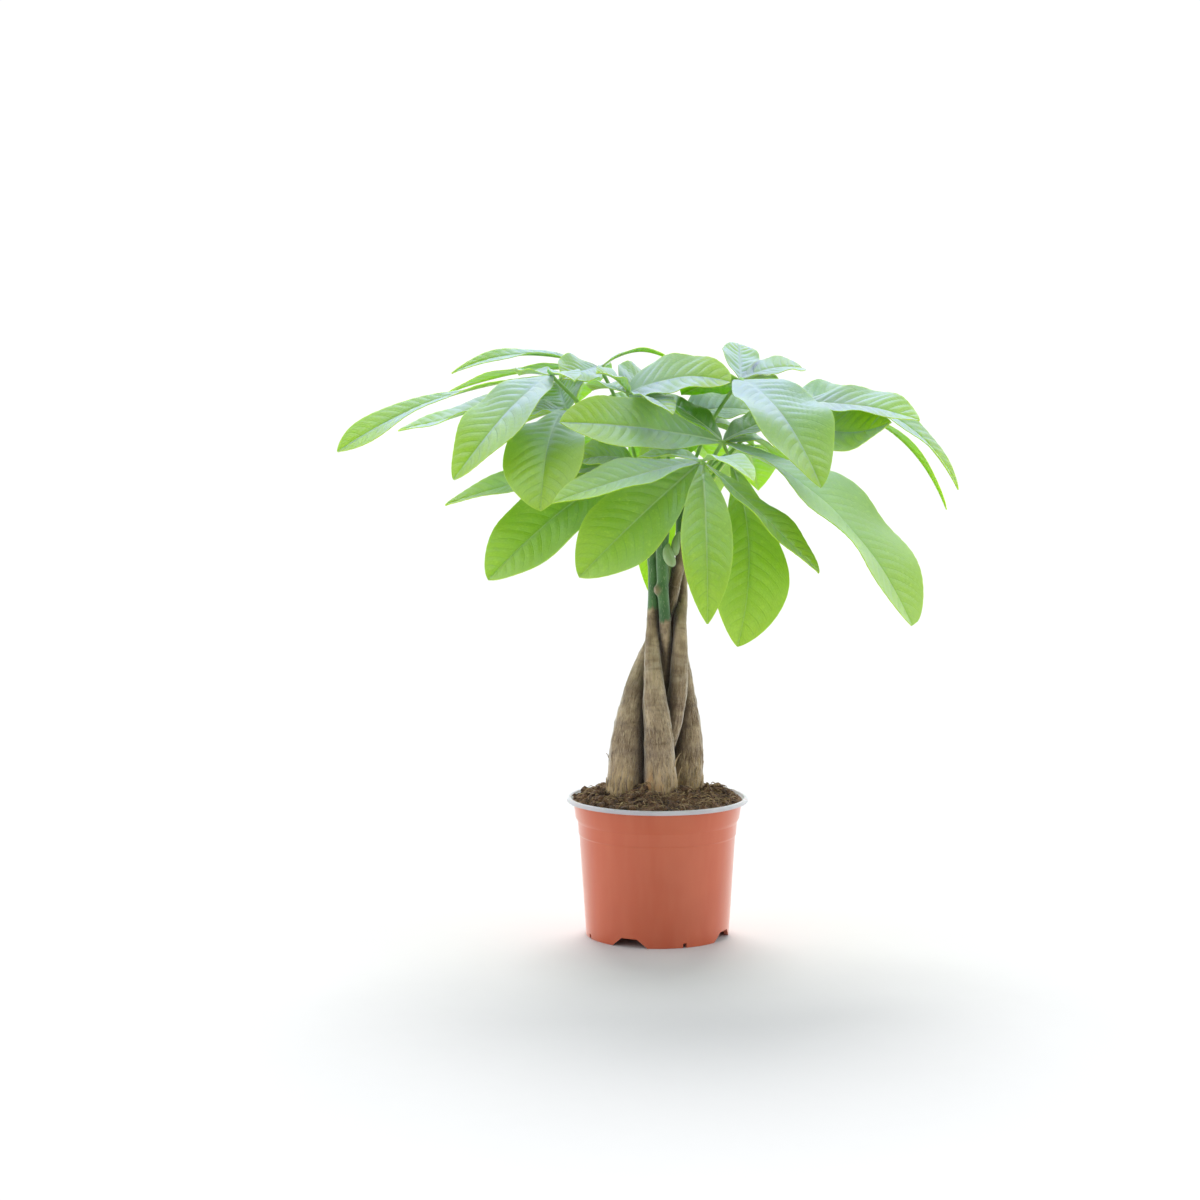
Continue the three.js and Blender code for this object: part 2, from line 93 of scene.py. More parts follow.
# Dents: depth, waves round the pot, their turn, radians of wave to a metre of height, their shift.
DENTS = ((0.16, 3, 0.6, 42, 0), (0.10, 7, 2.1, 71, 1))
DENTS_FROM = (0.043, 0.047)  # radii in metres between which the dents set in

# ---- the peat, in millimetres
CLEARANCE = 0.3
SOIL_EDGE_Z = 90.2
SOIL_EDGE_RADIUS = 55.7
SOIL_MOUND = 6.5
SOIL_LUMP = 1.5
LUMPS_X = 0.41
LUMPS_Y = 0.37
LUMPS_SLANT = 0.53
SOIL_COLUMNS = 260
SOIL_ROWS = 100
SOIL_TOP_ROWS = 0.9  # share of the rows on top; the rest go down the wall and under
# Size, seed and height of the coarse, the middle and the fine lumps.
PEAT_LUMPS = ((7.0, 1.0, 3.5), (2.6, 2.0, 2.0), (1.1, 3.0, 0.9))
PEAT_HOLLOWS = -0.7  # no coarse lump goes lower
CRUMB_COUNT = 1500
CRUMB_KINDS = 6
CRUMB_LEAST = 0.35
CRUMB_GROWTH = 2.9  # how much larger the largest is
CRUMB_RARITY = 3.2  # the higher, the rarer large crumbs are
CRUMB_MARGIN = 1.5  # left free at the edge of the peat
FIBRE_COUNT = 1100
FIBRE_KINDS = 8
FIBRE_MARGIN = 5
FIBRE_STEPS = 6
FIBRE_LENGTHS = (2.5, 10)
FIBRE_THICKNESS = 0.046  # half of it, as a share of the length
# Peat heaped against the stems: x, y, reach, height.
SOIL_HEAPS = (
    (-10, -24, 10, 5.0), (13, -22, 8, 3.0), (-36, -8, 8, 2.5), (34, 4, 7, 2.5), (-14, 34, 9, 3.0))

# ---- the stems: points of [x, y, z, radius] in millimetres
BURIED_Z = 55
STEMS = {
    "stem_left": [
        (-20, -8, BURIED_Z, 9), (-21.1, -9, 92, 13), (-19.3, -6, 129, 11.6),
        (-14.5, 1.5, 156, 9.4), (-6, 14, 182, 7.2), (4, 6.8, 209, 4.9), (8.7, 2.4, 222, 4.1),
        (12.5, 0.6, 239, 3.8), (17, -1, 256, 3.7), (24, -3, 284, 4.3)],
    "stem_front": [
        (2, -16, BURIED_Z, 8.5), (1.9, -17, 92, 10.8), (0.5, -15.4, 129, 9.9),
        (-2.4, -9.8, 162, 7.3), (-3.6, -3, 189, 4.9), (-3.1, 0, 209, 4), (-3, 0.5, 229, 3.5),
        (-3.5, 1, 249, 3.4), (-12, -1, 282, 4.3)],
    "stem_right": [
        (19.3, 8, BURIED_Z, 8.6), (19.3, 8, 92, 11), (20.6, 12.8, 129, 10), (17.3, 14.6, 160, 7.6),
        (13.5, 14.2, 189, 6), (12, 13.8, 209, 5), (8, 15, 222, 4.4), (4, 13, 239, 4),
        (0, 13, 256, 3.8), (-8, 21, 286, 4.3)],
    "stem_crossing": [
        (-11, 17, BURIED_Z, 7), (-10, 17, 92, 8.5), (-1, 9, 110, 6.5), (7, 2, 129, 5.5),
        (13, -1, 160, 6.6), (14.5, -1.4, 189, 5.2), (14.6, -1, 209, 4.2), (16.2, 8.2, 222, 3.7),
        (16, 10.4, 239, 3.6), (15.4, 12.4, 256, 3.5), (17, 21, 288, 4.3)],
    "stem_back": [
        (9, 29, BURIED_Z, 8), (9, 30, 92, 10.4), (4, 25, 129, 8.3), (4, 11.5, 160, 5.9),
        (5.4, 4.8, 186, 4.1), (4.6, -4.4, 209, 3.8), (3.2, -5.6, 229, 3.7), (2.7, -6, 245, 4),
        (2.4, -7.6, 256, 3.8), (4, -14, 278, 4.3)],
}
STEM_SIDES = 64
STEM_RINGS = 210
CURVE_STEPS = 40  # from each point of a stem to the next
OLD_BARK_HEIGHTS = (235, 120)  # the bark grows rougher from the first height down to the second
FLARE_HEIGHTS = (112, 90)  # and its root flares set in between these
STEM_TIP = 0.982  # share of the length from which the top is rounded over
CREVICE_REACH = 14  # a stem is in its neighbour's shade from this near
FLAKE_THICKNESS = 0.28
# Heights of the ring scars, and the height above which the bark is still green.
RING_SCARS = {
    "stem_left": (143, 164, 187, 206, 231, 262),
    "stem_front": (131, 177, 195.5, 211, 246),
    "stem_right": (122, 151, 178, 201, 226, 255),
    "stem_crossing": (125, 158, 173, 203, 235, 263),
    "stem_back": (118, 142, 171, 204, 232),
}
GREEN_FROM = {
    "stem_left": 268, "stem_front": 216.5, "stem_right": 262, "stem_crossing": 258, "stem_back": 209.5,
}
# A rusty stain: stem, direction in degrees, height, radius.
STAIN = ("stem_front", -128, 100, 5.6)
# Knots: (stem, direction in degrees, height, radius, how far it stands out), in millimetres.
KNOTS = (
    ("stem_crossing", -68, 173.5, 2.0, 0.8),
    ("stem_back", -155, 230, 2.5, 3.3),
    ("stem_back", -100, 203.5, 1.5, 0.9),
    ("stem_front", -88, 211.5, 2.4, 0.7),
    ("stem_front", -120, 195, 1.8, 0.5),
    ("stem_left", -115, 163.5, 2.2, -0.5),
    ("stem_left", -60, 206, 1.4, 0.8),
    ("stem_right", -40, 178, 1.6, 0.7),
    ("stem_right", 70, 150, 2.0, 0.8),
    ("stem_back", 95, 142, 1.9, 0.7),
    ("stem_left", 170, 140, 2.2, 0.6),
)
# Buds: (stem, upper end, lower end, width), in millimetres.
BUDS = (
    ("stem_back", (5.4, -10.4, 261), (9.8, -11.8, 245), 8.2),
    ("stem_back", (13.8, -9.5, 268), (11.0, -9.5, 252), 6.4),
    ("stem_crossing", (8.4, 3.0, 257), (7.4, 2.0, 230), 6.4),
)
# Flakes of loose bark: (stem, direction in degrees, height, length, width, how far it curls out).
FLAKES = (
    ("stem_front", -20, 118, 9, 1.8, 4.6),
    ("stem_front", -8, 105, 17, 1.6, 3.6),
    ("stem_front", -118, 100, 14, 2.8, 1.2),
    ("stem_front", -92, 96, 9, 3.0, 0.9),
    ("stem_front", -62, 104, 13, 2.2, 1.2),
    ("stem_front", -36, 100, 13, 2.6, 2.4),
    ("stem_left", -34, 139, 6, 1.6, 2.8),
    ("stem_left", -165, 101, 10, 2.8, 0.7),
    ("stem_left", -176, 119, 3, 1.4, 1.7),
    ("stem_left", -135, 100, 12, 2.6, 1.3),
    ("stem_left", -105, 98, 9, 2.2, 1.1),
    ("stem_left", -75, 101, 12, 2.2, 1.2),
    ("stem_right", -60, 104, 13, 2.4, 1.5),
    ("stem_right", -88, 100, 9, 2.0, 1.4),
    ("stem_right", -30, 100, 11, 2.2, 1.2),
    ("stem_right", 30, 110, 9, 2.0, 1.8),
    ("stem_back", 80, 106, 9, 2.2, 1.7),
    ("stem_back", 150, 100, 7, 2.0, 1.5),
    ("stem_left", 110, 108, 9, 2.2, 1.6),
)

# ---- the leaves, in millimetres and degrees
# A leaf is (name, stem, direction of its stalk's foot, hub, leaflets). A leaflet is (tip, width,
# arch, sway, roll, widest, fullness, twist): arch lifts its middle, sway bends it to its own right,
# roll turns its face to its own right, and twist is how much further its tip is turned than its
# root. widest is the share of the length where it is widest, and a lower fullness makes it blunter.
LEAFLET_PLAIN = (0, 0, 0, 0, 0, 0.56, 0.8, 0)
LEAVES = (
    ("front", "stem_back", -70, (26, -60, 315), (
        ((-67, -100, 291), 34, 3, -2, -25),
        ((-51, -84, 244), 50, 1, 2, -58, 0.6, 0.7),
        ((28, -108, 217), 33, 14),
        ((97, -100, 248), 28, 2, 0, 10, 0.62),
        ((54, -136, 306), 20, 7),
        ((-20, -39, 313), 20, 5, 0, -14),
    )),
    ("right_front", "stem_left", -60, (41, -22, 326), (
        ((-63, -67, 340), 44, 3, 0, -50, 0.6, 0.66),
        ((155, -97, 215), 76, 18, -3, 0, 0.6, 0.56),
        ((49, -62, 198), 51, 12, -9, -8, 0.7),
        ((-6, 22, 357), 32, 4),
        ((82, 8, 305), 46, 12, 0, 22),
        ((86, 0, 345), 32, 2, 0, 15),
    )),
    ("top", "stem_crossing", -80, (53, -12, 366), (
        ((55, 34, 390), 26, 2, 0, 15),
        ((96, 24, 374), 23, 4, 0, 25, 0.68, 0.45),
        ((99, -88, 300), 58, 14, 4, 5, 0.5, 0.74),
        ((16, 22, 357), 38, 3, 0, 30),
        ((80, 12, 361), 17, 3, 0, -10),
    )),
    ("centre", "stem_back", 60, (-19, -15, 357), (
        ((45, -37, 365), 41, 7, 0, 38, 0.42, 0.48),
        ((8, -58, 345), 22, 4),
        ((-40, -33, 371), 24, 4, 0, -20),
        ((-43, 20, 360), 34, 3),
        ((-3, 24, 366), 38, 3, 0, 35, 0.5, 0.6),
    )),
    ("inner", "stem_front", 0, (16, 26, 342), (
        ((68, 46, 345), 50, 4, 0, 25, 0.6, 0.6),
        ((22, 62, 316), 34, 8),
        ((66, 54, 322), 42, 4, 0, 20),
        ((-13, 0, 336), 22, 5),
        ((-38, 62, 352), 32, 4, 0, -20),
    )),
    ("left", "stem_front", -140, (-70, -5, 369), (
        ((-205, -45, 321), 24, 10, 0, -12, 0.79, 0.8, -70),
        ((-172, 25, 333), 28, -4, 0, -20, 0.6),
        ((-130, -68, 304), 47, 13, -13, -10, 0.56, 0.72),
        ((-92, 40, 370), 22, 2),
        ((-54, -48, 366), 20, 3),
    )),
    ("left_low", "stem_front", 110, (-60, 5, 346), (
        ((-75, -78, 285), 54, 16, 1, 0, 0.68, 0.7, 12),
        ((-92, 0, 341), 28, 3, 0, -15),
        ((-68, 43, 365), 36, 2, 0, -30, 0.56, 0.5),
        ((-110, 35, 320), 30, 7),
    )),
    ("left_front", "stem_back", 180, (-16, -20, 313), (
        ((-109, -55, 240), 49, 5, 0, -45, 0.6, 0.66),
        ((-138, -24, 286), 32, 4, 0, -22),
        ((-52, -24, 314), 34, 4, 0, -30, 0.56, 0.65),
    )),
    ("right", "stem_left", 60, (88, 42, 350), (
        ((146, 72, 356), 34, 2, 0, 22, 0.5, 0.6),
        ((171, 2, 340), 44, 5, 0, 20, 0.58),
        ((152, 0, 339), 46, -12, 0, 45, 0.52, 0.7),
        ((203, 42, 293), 29, 24, 0, 22),
        ((200, 75, 278), 14, 24),
        ((125, 118, 325), 34, 9),
    )),
    ("back_top", "stem_right", 250, (-38, 40, 374), (
        ((-137, 35, 371), 16, 11, 0, -18, 0.62, 1, -40),
        ((10, 66, 380), 8, 9, 0, -8),
        ((-62, 10, 367), 32, 2, 0, -30),
        ((-55, 125, 350), 36, 9),
        ((-141, 66, 358), 26, 6),
    )),
    ("back", "stem_crossing", 150, (-5, 70, 338), (
        ((-2, 92, 216), 32, 18),
        ((-52, 130, 296), 36, 10),
        ((48, 136, 300), 38, 11),
        ((0, 140, 280), 34, 14),
    )),
    ("back_right", "stem_crossing", 40, (58, 58, 322), (
        ((112, 92, 285), 34, 9),
        ((74, 130, 289), 36, 9),
        ((106, 38, 292), 28, 6),
        ((28, 108, 258), 30, 9),
    )),
    ("back_left", "stem_right", 130, (-58, 60, 312), (
        ((-104, 70, 294), 34, 9),
        ((-80, 125, 262), 36, 10),
        ((-30, 112, 248), 32, 10),
        ((-80, 20, 272), 30, 8),
    )),
)
BLADE_COLUMNS = 26
BLADE_ROWS = 104
BLADE_THICKNESS = 0.55
BLADE_ROOT_WIDTH = 2.6
BLADE_TIP_WIDTH = 0.8
BLADE_FOLD = 12
BLADE_WAVES = 2.3
BLADE_WAVE_SHARE = 0.045
MIDRIB_CROWDING = 1.35  # how far the columns of a blade crowd towards its midrib
VEIN_SPACING = 7.6
VEIN_COUNTS = (9, 22)  # the fewest and the most on each side of a leaflet
VEIN_STAGGER = 0.38  # the side veins on the right start this share of a spacing later
VEIN_RISE = 0.42
VEIN_ARCH = 0.5
RUN_SCALE = 32  # the blade's map holds this many veins from bottom to top
PUCKER = 0.95
GROOVE = 0.42
RIB = 0.9
# Where the painted shade of the crown's middle lies: its middle, from its rim to its depth, and the
# heights over which it sets in.
CROWN_MIDDLE = (18, 22)
CROWN_MIDDLE_REACH = (78, 22)  # from the rim of the dark middle of the crown to its depth
CROWN_TOP = (374, 352)
FOOT_CIRCLE = 2.4  # the stalks stand on this circle on a stem's top
STALK_FOOT_RADIUS = 1.75
STALK_RADIUS = 1.25
STALK_LEAN = 0.3
STALK_CLIMB = 0.62
STALK_FOOT_TAPER = 6
STALK_SIDES = 14
STALK_RINGS = 44
HUB_RADIUS = 2.2

# ---- the camera and the light
CAMERA_PLACE = (-0.038, -1.6, 0.365)
CAMERA_TILT = 84.9
CAMERA_LENS = 73.32
ROOM_FRONT = 0.6
ROOM_BACK = 1.38
ROOM_SIDES = 1.6
ROOM_TOP = 0.4  # how bright the room is straight above, against the walls
ROOM_COLOUR = (0.93, 0.965, 1.0, 1)
CEILING = 5.2
CEILING_COLOUR = (0.6, 0.7, 1.0, 1)
LAMP_STRENGTH = 3.15
LAMP_SPREAD = 36
LAMP_LEAN = 40
LAMP_COLOUR = (1.0, 0.99, 0.975)
BACKDROP = 1.05
FLOOR_TONE = 0.67


# ---- colours as they show on a screen, from 0 to 255
def srgb(red, green, blue):
    """Such a colour as linear light."""
    def linear(value):
        value /= 255
        return value / 12.92 if value <= 0.04045 else ((value + 0.055) / 1.055) ** 2.4
    return (linear(red), linear(green), linear(blue), 1)


LEAF_FACE = {
    "deep": srgb(130, 168, 46), "main": srgb(150, 184, 58), "light": srgb(180, 206, 76),
    "vein": srgb(104, 146, 44), "midrib": srgb(190, 212, 142), "shaded": srgb(80, 124, 42),
}
LEAF_BACK = {
    "deep": srgb(134, 176, 24), "main": srgb(156, 194, 34), "light": srgb(180, 210, 56),
    "vein": srgb(126, 164, 30), "midrib": srgb(190, 212, 122), "shaded": srgb(96, 148, 26),
}
LEAF_DEPTHS = (0.62, 0.8, 0.05)  # how deep red, green and blue light goes into a leaf
# A pale blue painted sheen: a reflection laid on the leaves as colour.
SHEEN_TINT = srgb(164, 184, 196)
SHEEN_HEIGHTS = (0.285, 0.35)  # in metres, from the leaves with little painted sheen to those with most
BARK = {
    "main": srgb(138, 116, 90), "pale": srgb(194, 171, 138),
    "dark band": srgb(112, 94, 84), "light band": srgb(202, 186, 160),
    "dark streak": srgb(88, 70, 50), "light streak": srgb(214, 194, 156),
    "dark hair": srgb(74, 58, 42), "light hair": srgb(224, 208, 176),
    # On the next line, the crevice colour is a painted shade for where stems face each other.
    "foot": srgb(204, 174, 120), "scar": srgb(84, 66, 48), "crevice_shade": srgb(60, 43, 30),
    # On the next line, the fibres colour is a painted rim highlight for where the bark turns away.
    "stain": srgb(206, 146, 88), "fibres": srgb(222, 214, 198),
    "green": srgb(62, 100, 58), "pale green": srgb(86, 128, 74), "green dots": srgb(158, 176, 132),
}
# Main and pale.
STALK = (srgb(112, 165, 70), srgb(150, 195, 95))
BUD = (srgb(128, 158, 98), srgb(166, 192, 140))
STALK_FLECKS = srgb(185, 205, 140)
# Dark, main and pale.
PEAT = (srgb(62, 44, 32), srgb(120, 89, 62), srgb(176, 142, 100))
CRUMBS = (srgb(60, 44, 32), srgb(118, 88, 60), srgb(174, 140, 98))
FIBRES = (srgb(122, 96, 66), srgb(176, 150, 110), srgb(220, 198, 156))
SHARDS = (srgb(158, 132, 94), srgb(202, 178, 136), srgb(230, 210, 170))
# Main, pale, dark and the painted highlight of the rim.
POT_WALL = (srgb(198, 98, 66), srgb(206, 114, 82), srgb(184, 86, 56), srgb(240, 192, 178))
POT_LIP = (srgb(190, 187, 190), srgb(206, 204, 206), srgb(172, 168, 172), srgb(226, 226, 226))


# ---- working in Blender
def deselect_all():
    bpy.ops.object.select_all(action="DESELECT")


def activate(*pieces):
    deselect_all()
    for piece in pieces:
        piece.select_set(True)
    bpy.context.view_layer.objects.active = pieces[0]


def take_new(name):
    """Names the primitive that was just added, and keeps its place and size in its mesh."""
    bpy.ops.object.transform_apply(location=True, rotation=True, scale=True)
    piece = bpy.context.object
    piece.name = piece.data.name = name
    return piece


def flat_grid(name, columns, rows):
    """A flat grid from -1 to 1 each way."""
    deselect_all()
    bpy.ops.mesh.primitive_grid_add(x_subdivisions=columns, y_subdivisions=rows, size=2)
    return take_new(name)


def apply_modifier(piece, kind, **settings):
    activate(piece)
    modifier = piece.modifiers.new(kind.title(), kind)
    for key, value in settings.items():
        setattr(modifier, key, value)
    bpy.ops.object.modifier_apply(modifier=modifier.name)


def join(name, pieces):
    activate(*pieces)
    if len(pieces) > 1:
        bpy.ops.object.join()
    whole = bpy.context.object
    whole.name = whole.data.name = name
    return whole


def dress(piece, angle, *finishes):
    """Shades a piece smooth up to an angle between faces, and gives it its materials."""
    activate(piece)
    bpy.ops.object.shade_smooth_by_angle(angle=math.radians(angle))
    for finish in finishes:
        piece.data.materials.append(finish)
    return piece


def edit_all(piece):
    activate(piece)
    bpy.ops.object.mode_set(mode="EDIT")
    bpy.ops.mesh.select_all(action="SELECT")


def weld(piece, distance=1e-6):
    """Closes the seams of a rolled grid, and turns its faces outwards."""
    edit_all(piece)
    bpy.ops.mesh.remove_doubles(threshold=distance)
    bpy.ops.mesh.normals_make_consistent(inside=False)
    bpy.ops.object.mode_set(mode="OBJECT")


def place_in_scene(name, data):
    made = bpy.data.objects.new(name, data)
    bpy.context.scene.collection.objects.link(made)
    return made


def discard(piece):
    mesh = piece.data
    bpy.data.objects.remove(piece)
    bpy.data.meshes.remove(mesh)


def vertices(piece):
    flat = np.empty(len(piece.data.vertices) * 3)
    piece.data.vertices.foreach_get("co", flat)
    return flat.reshape(-1, 3)


def move_vertices(piece, places):
    piece.data.vertices.foreach_set("co", np.ascontiguousarray(places, dtype=np.float32).ravel())
    piece.data.update()


def paint_points(piece, name, values):
    """Keeps a number or a vector for each vertex, for the materials."""
    values = np.asarray(values, dtype=np.float32)
    kind, field = ("FLOAT_VECTOR", "vector") if values.ndim == 2 else ("FLOAT", "value")
    piece.data.attributes.new(name, kind, "POINT").data.foreach_set(field, values.ravel())


def map_uv(piece, name, across, along):
    """Lays the piece's UV map from two numbers for each vertex."""
    mesh = piece.data
    corners = np.empty(len(mesh.loops), dtype=np.int32)
    mesh.loops.foreach_get("vertex_index", corners)
    layer = mesh.uv_layers[0]
    layer.name = name
    pairs = np.stack([across[corners], along[corners]], -1)
    layer.data.foreach_set("uv", pairs.astype(np.float32).ravel())


def smoothstep(low, high, value):
    share = np.clip((value - low) / (high - low), 0, 1)
    return share * share * (3 - 2 * share)


def bell(gap, width):
    """1 where the gap is 0, and falling to 0 within a few widths."""
    return np.exp(-(gap / width) ** 2)


def unit(vectors):
    return vectors / np.linalg.norm(vectors, axis=-1, keepdims=True)


def about_z(angle):
    """The matrix that turns a place about the vertical."""
    cos, sin = math.cos(angle), math.sin(angle)
    return np.array([[cos, -sin, 0], [sin, cos, 0], [0, 0, 1]])


def noise_at(places, size, seed=0.0, octaves=1):
    """Smooth noise at places in millimetres, with lumps of about the given size."""
    shift = Vector((seed * 17.3, seed * -9.1, seed * 5.7))
    if octaves == 1:
        return np.array([noise.noise(Vector(p) / size + shift) for p in places])
    return np.array([noise.fractal(Vector(p) / size + shift, 0.9, 2.1, octaves) for p in places])


# ---- building materials
class Nodes:
    """A node tree, with short calls for the nodes that the materials are made of."""

    def __init__(self, tree):
        self.tree = tree

    def feed(self, inputs, values):
        """Gives inputs their values: a link from a socket, or a plain value."""
        for key, value in values.items():
            if isinstance(value, bpy.types.NodeSocket):
                self.tree.links.new(value, inputs[key])
            else:
                inputs[key].default_value = value

    def add(self, kind, values=None, **settings):
        """Adds a node and returns its outputs."""
        made = self.tree.nodes.new(kind)
        for key, value in settings.items():
            setattr(made, key, value)
        self.feed(made.inputs, values or {})
        return made.outputs

    def calc(self, operation, first, second=0.0, third=0.0):
        return self.add("ShaderNodeMath", {0: first, 1: second, 2: third}, operation=operation)[0]

    def times(self, first, second):
        return self.calc("MULTIPLY", first, second)

    def line(self, value, slope, start):
        """The value times a slope, plus a start."""
        return self.calc("MULTIPLY_ADD", value, slope, start)

    def rest(self, value):
        """What the value leaves of 1."""
        return self.calc("SUBTRACT", 1.0, value)

    def spread(self, value, low, high, start=0.0, end=1.0):
        """Carries a value from low..high to start..end with soft ends."""
        limits = {0: value, 1: low, 2: high, 3: start, 4: end}
        return self.add("ShaderNodeMapRange", limits, interpolation_type="SMOOTHSTEP")[0]

    def blend(self, share, first, second):
        return self.add("ShaderNodeMix", {0: share, 6: first, 7: second}, data_type="RGBA")[2]

    def coats(self, colour, *coats):
        """Lays tints over a colour, each with the share of it that shows."""
        for share, tint in coats:
            colour = self.blend(share, colour, tint)
        return colour

    def cloud(self, vector, scale, detail=3.0, roughness=0.55, distortion=0.0):
        """Noise round 0.5. A scale of three numbers stretches it."""
        if isinstance(scale, tuple):
            vector = self.add("ShaderNodeMapping", {"Vector": vector, "Scale": scale})[0]
            scale = 1.0
        return self.add("ShaderNodeTexNoise", {
            "Vector": vector, "Scale": scale, "Detail": detail, "Roughness": roughness,
            "Distortion": distortion})["Fac"]

    def parts(self, vector):
        return self.add("ShaderNodeSeparateXYZ", {0: vector})

    def use(self, group, **values):
        """Places a node group. The names of its inputs are given with _ for a space."""
        values = {key.replace("_", " "): value for key, value in values.items()}
        return self.add("ShaderNodeGroup", values, node_tree=group)


class Finish(Nodes):
    """A material with a Principled shader, and the object's own coordinates as its place."""

    def __init__(self, name, values):
        self.material = bpy.data.materials.new(name)
        self.material.use_nodes = True
        super().__init__(self.material.node_tree)
        self.tree.nodes.clear()
        shader = self.tree.nodes.new("ShaderNodeBsdfPrincipled")
        self.shader = shader.inputs
        self.feed(self.shader, values)
        self.add("ShaderNodeOutputMaterial", {"Surface": shader.outputs[0]})
        self.place = self.add("ShaderNodeTexCoord")["Object"]

    def attribute(self, name, kind):
        return self.add("ShaderNodeAttribute", attribute_name=name)[kind]

    def facing(self, blend):
        """0 where the surface faces the eye, and 1 where it turns away."""
        return self.add("ShaderNodeLayerWeight", {"Blend": blend})["Facing"]

    def done(self, colour, roughness, height, strength, depth):
        """Links what the surface shows, with its height as a bump of some millimetres."""
        relief = {"Height": height, "Strength": strength, "Distance": depth * MM}
        self.feed(self.shader, {
            "Base Color": colour, "Roughness": roughness,
            "Normal": self.add("ShaderNodeBump", relief)[0]})
        return self.material


def node_group(name, inputs, outputs):
    """An empty node group: its nodes, the sockets that come in, and those that go out."""
    tree = bpy.data.node_groups.new(name, "ShaderNodeTree")
    for label, kind in inputs:
        tree.interface.new_socket(label, in_out="INPUT", socket_type=f"NodeSocket{kind}")
    for label in outputs:
        tree.interface.new_socket(label, in_out="OUTPUT", socket_type="NodeSocketFloat")
    given = tree.nodes.new("NodeGroupInput").outputs
    return Nodes(tree), given, tree.nodes.new("NodeGroupOutput").inputs


def vein_group():
    """The veins of a blade, from its map: across it in X, and along its veins in Y."""
    nodes, given, out = node_group(
        "Blade veins", (("Map", "Vector"), ("Off Midrib", "Float"), ("Share", "Float")),
        ("Veins", "Midrib", "Net", "Margin"))
    spot = nodes.parts(given["Map"])
    across = nodes.line(spot[0], 2.0, -1.0)
    wide = nodes.calc("ABSOLUTE", across)
    right = nodes.calc("GREATER_THAN", across)
    run = nodes.line(spot[1], float(RUN_SCALE), nodes.times(right, VEIN_STAGGER))
    ridge = nodes.calc("ABSOLUTE", nodes.line(nodes.calc("FRACT", run), 2.0, -1.0))
    reach = nodes.line(given["Share"], -0.75, 1.05)
    off_midrib = nodes.calc("ABSOLUTE", given["Off Midrib"])
    mesh = nodes.add("ShaderNodeCombineXYZ", {
        0: nodes.times(given["Off Midrib"], 0.42), 1: nodes.times(run, 3.4)})[0]
    cells = nodes.add(
        "ShaderNodeTexVoronoi", {"Vector": mesh, "Scale": 1.0, "Randomness": 0.9},
        feature="DISTANCE_TO_EDGE", voronoi_dimensions="2D")["Distance"]
    nodes.feed(out, {
        "Veins": nodes.times(nodes.spread(ridge, 0.84, 1.0), nodes.spread(wide, 0.93, 0.6)),
        "Midrib": nodes.spread(off_midrib, reach, nodes.times(reach, 0.35)),
        "Net": nodes.spread(cells, 0.0, 0.22),
        "Margin": nodes.spread(wide, 0.9, 1.0)})
    return nodes.tree


def blotch_group():
    """Slow and fast changes of tone in one number round 0.5."""
    nodes, given, out = node_group(
        "Blotches", (("Place", "Vector"), ("Size", "Float")), ("Slow", "Fast"))
    scale = nodes.calc("DIVIDE", 1.0, given["Size"])
    nodes.feed(out, {
        "Slow": nodes.cloud(given["Place"], scale, 2.0),
        "Fast": nodes.cloud(given["Place"], nodes.times(scale, 9.0), 4.0, 0.65)})
    return nodes.tree


def blade_material(name, veins, blotches, tints, roughness, relief, soft, sheen_strength):
    """The face or the back of the leaflets."""
    face = Finish(name, {
        "Subsurface Weight": soft, "Subsurface Scale": 3 * MM, "Subsurface Radius": LEAF_DEPTHS,
        "Specular IOR Level": 0.4, "IOR": 1.5})
    reach, share, own_tone = face.parts(face.attribute("blade", "Vector"))
    # The painted shade of the crown's middle: there a blade is painted the shaded tint and loses its
    # painted sheen.
    inside = face.attribute("inside", "Fac")
    uv = face.add("ShaderNodeUVMap", uv_map="Blade")[0]
    lines = face.use(veins, Map=uv, Off_Midrib=reach, Share=share)
    slow, fast = face.use(blotches, Place=face.place, Size=0.03)
    tone = face.line(slow, 0.9, face.line(own_tone, 0.6, -0.25))
    drawn = face.times(lines["Veins"], face.spread(slow, 0.35, 0.65, 0.05, 0.42))
    rib = face.times(lines["Midrib"], face.spread(share, 0.25, 0.8, 0.8, 0.35))
    # A painted sheen: a pale blue reflection laid on as colour where a blade turns away from the eye,
    # more towards its root and on the upper leaves, and none in the painted shade of the crown's middle.
    painted_sheen = face.line(
        face.spread(share, 0.1, 0.85, 0.5, 0.0), sheen_strength,
        face.spread(face.facing(0.4), 0.2, 0.85, 0.0, sheen_strength))
    painted_sheen = face.times(painted_sheen, face.spread(face.parts(face.place)[2], *SHEEN_HEIGHTS, 0.3, 1.25))
    painted_sheen = face.times(painted_sheen, face.rest(inside))
    colour = face.coats(
        face.blend(face.spread(tone, 0.2, 0.95), tints["deep"], tints["main"]),
        (face.spread(fast, 0.52, 0.78, 0.0, 0.5), tints["light"]),
        (face.spread(share, 0.55, 1.0, 0.0, 0.4), tints["light"]),
        (inside, tints["shaded"]),
        (face.times(lines["Margin"], 0.2), tints["light"]),
        (drawn, tints["vein"]),
        (face.line(lines["Net"], -0.16, 0.16), tints["vein"]),
        (rib, tints["midrib"]),
        (face.calc("MINIMUM", painted_sheen, 0.85), SHEEN_TINT))
    height = face.line(lines["Veins"], relief, face.line(lines["Net"], 0.35, face.times(fast, 0.6)))
    return face.done(colour, face.line(fast, 0.2, roughness - 0.1), height, 0.55, 0.25)


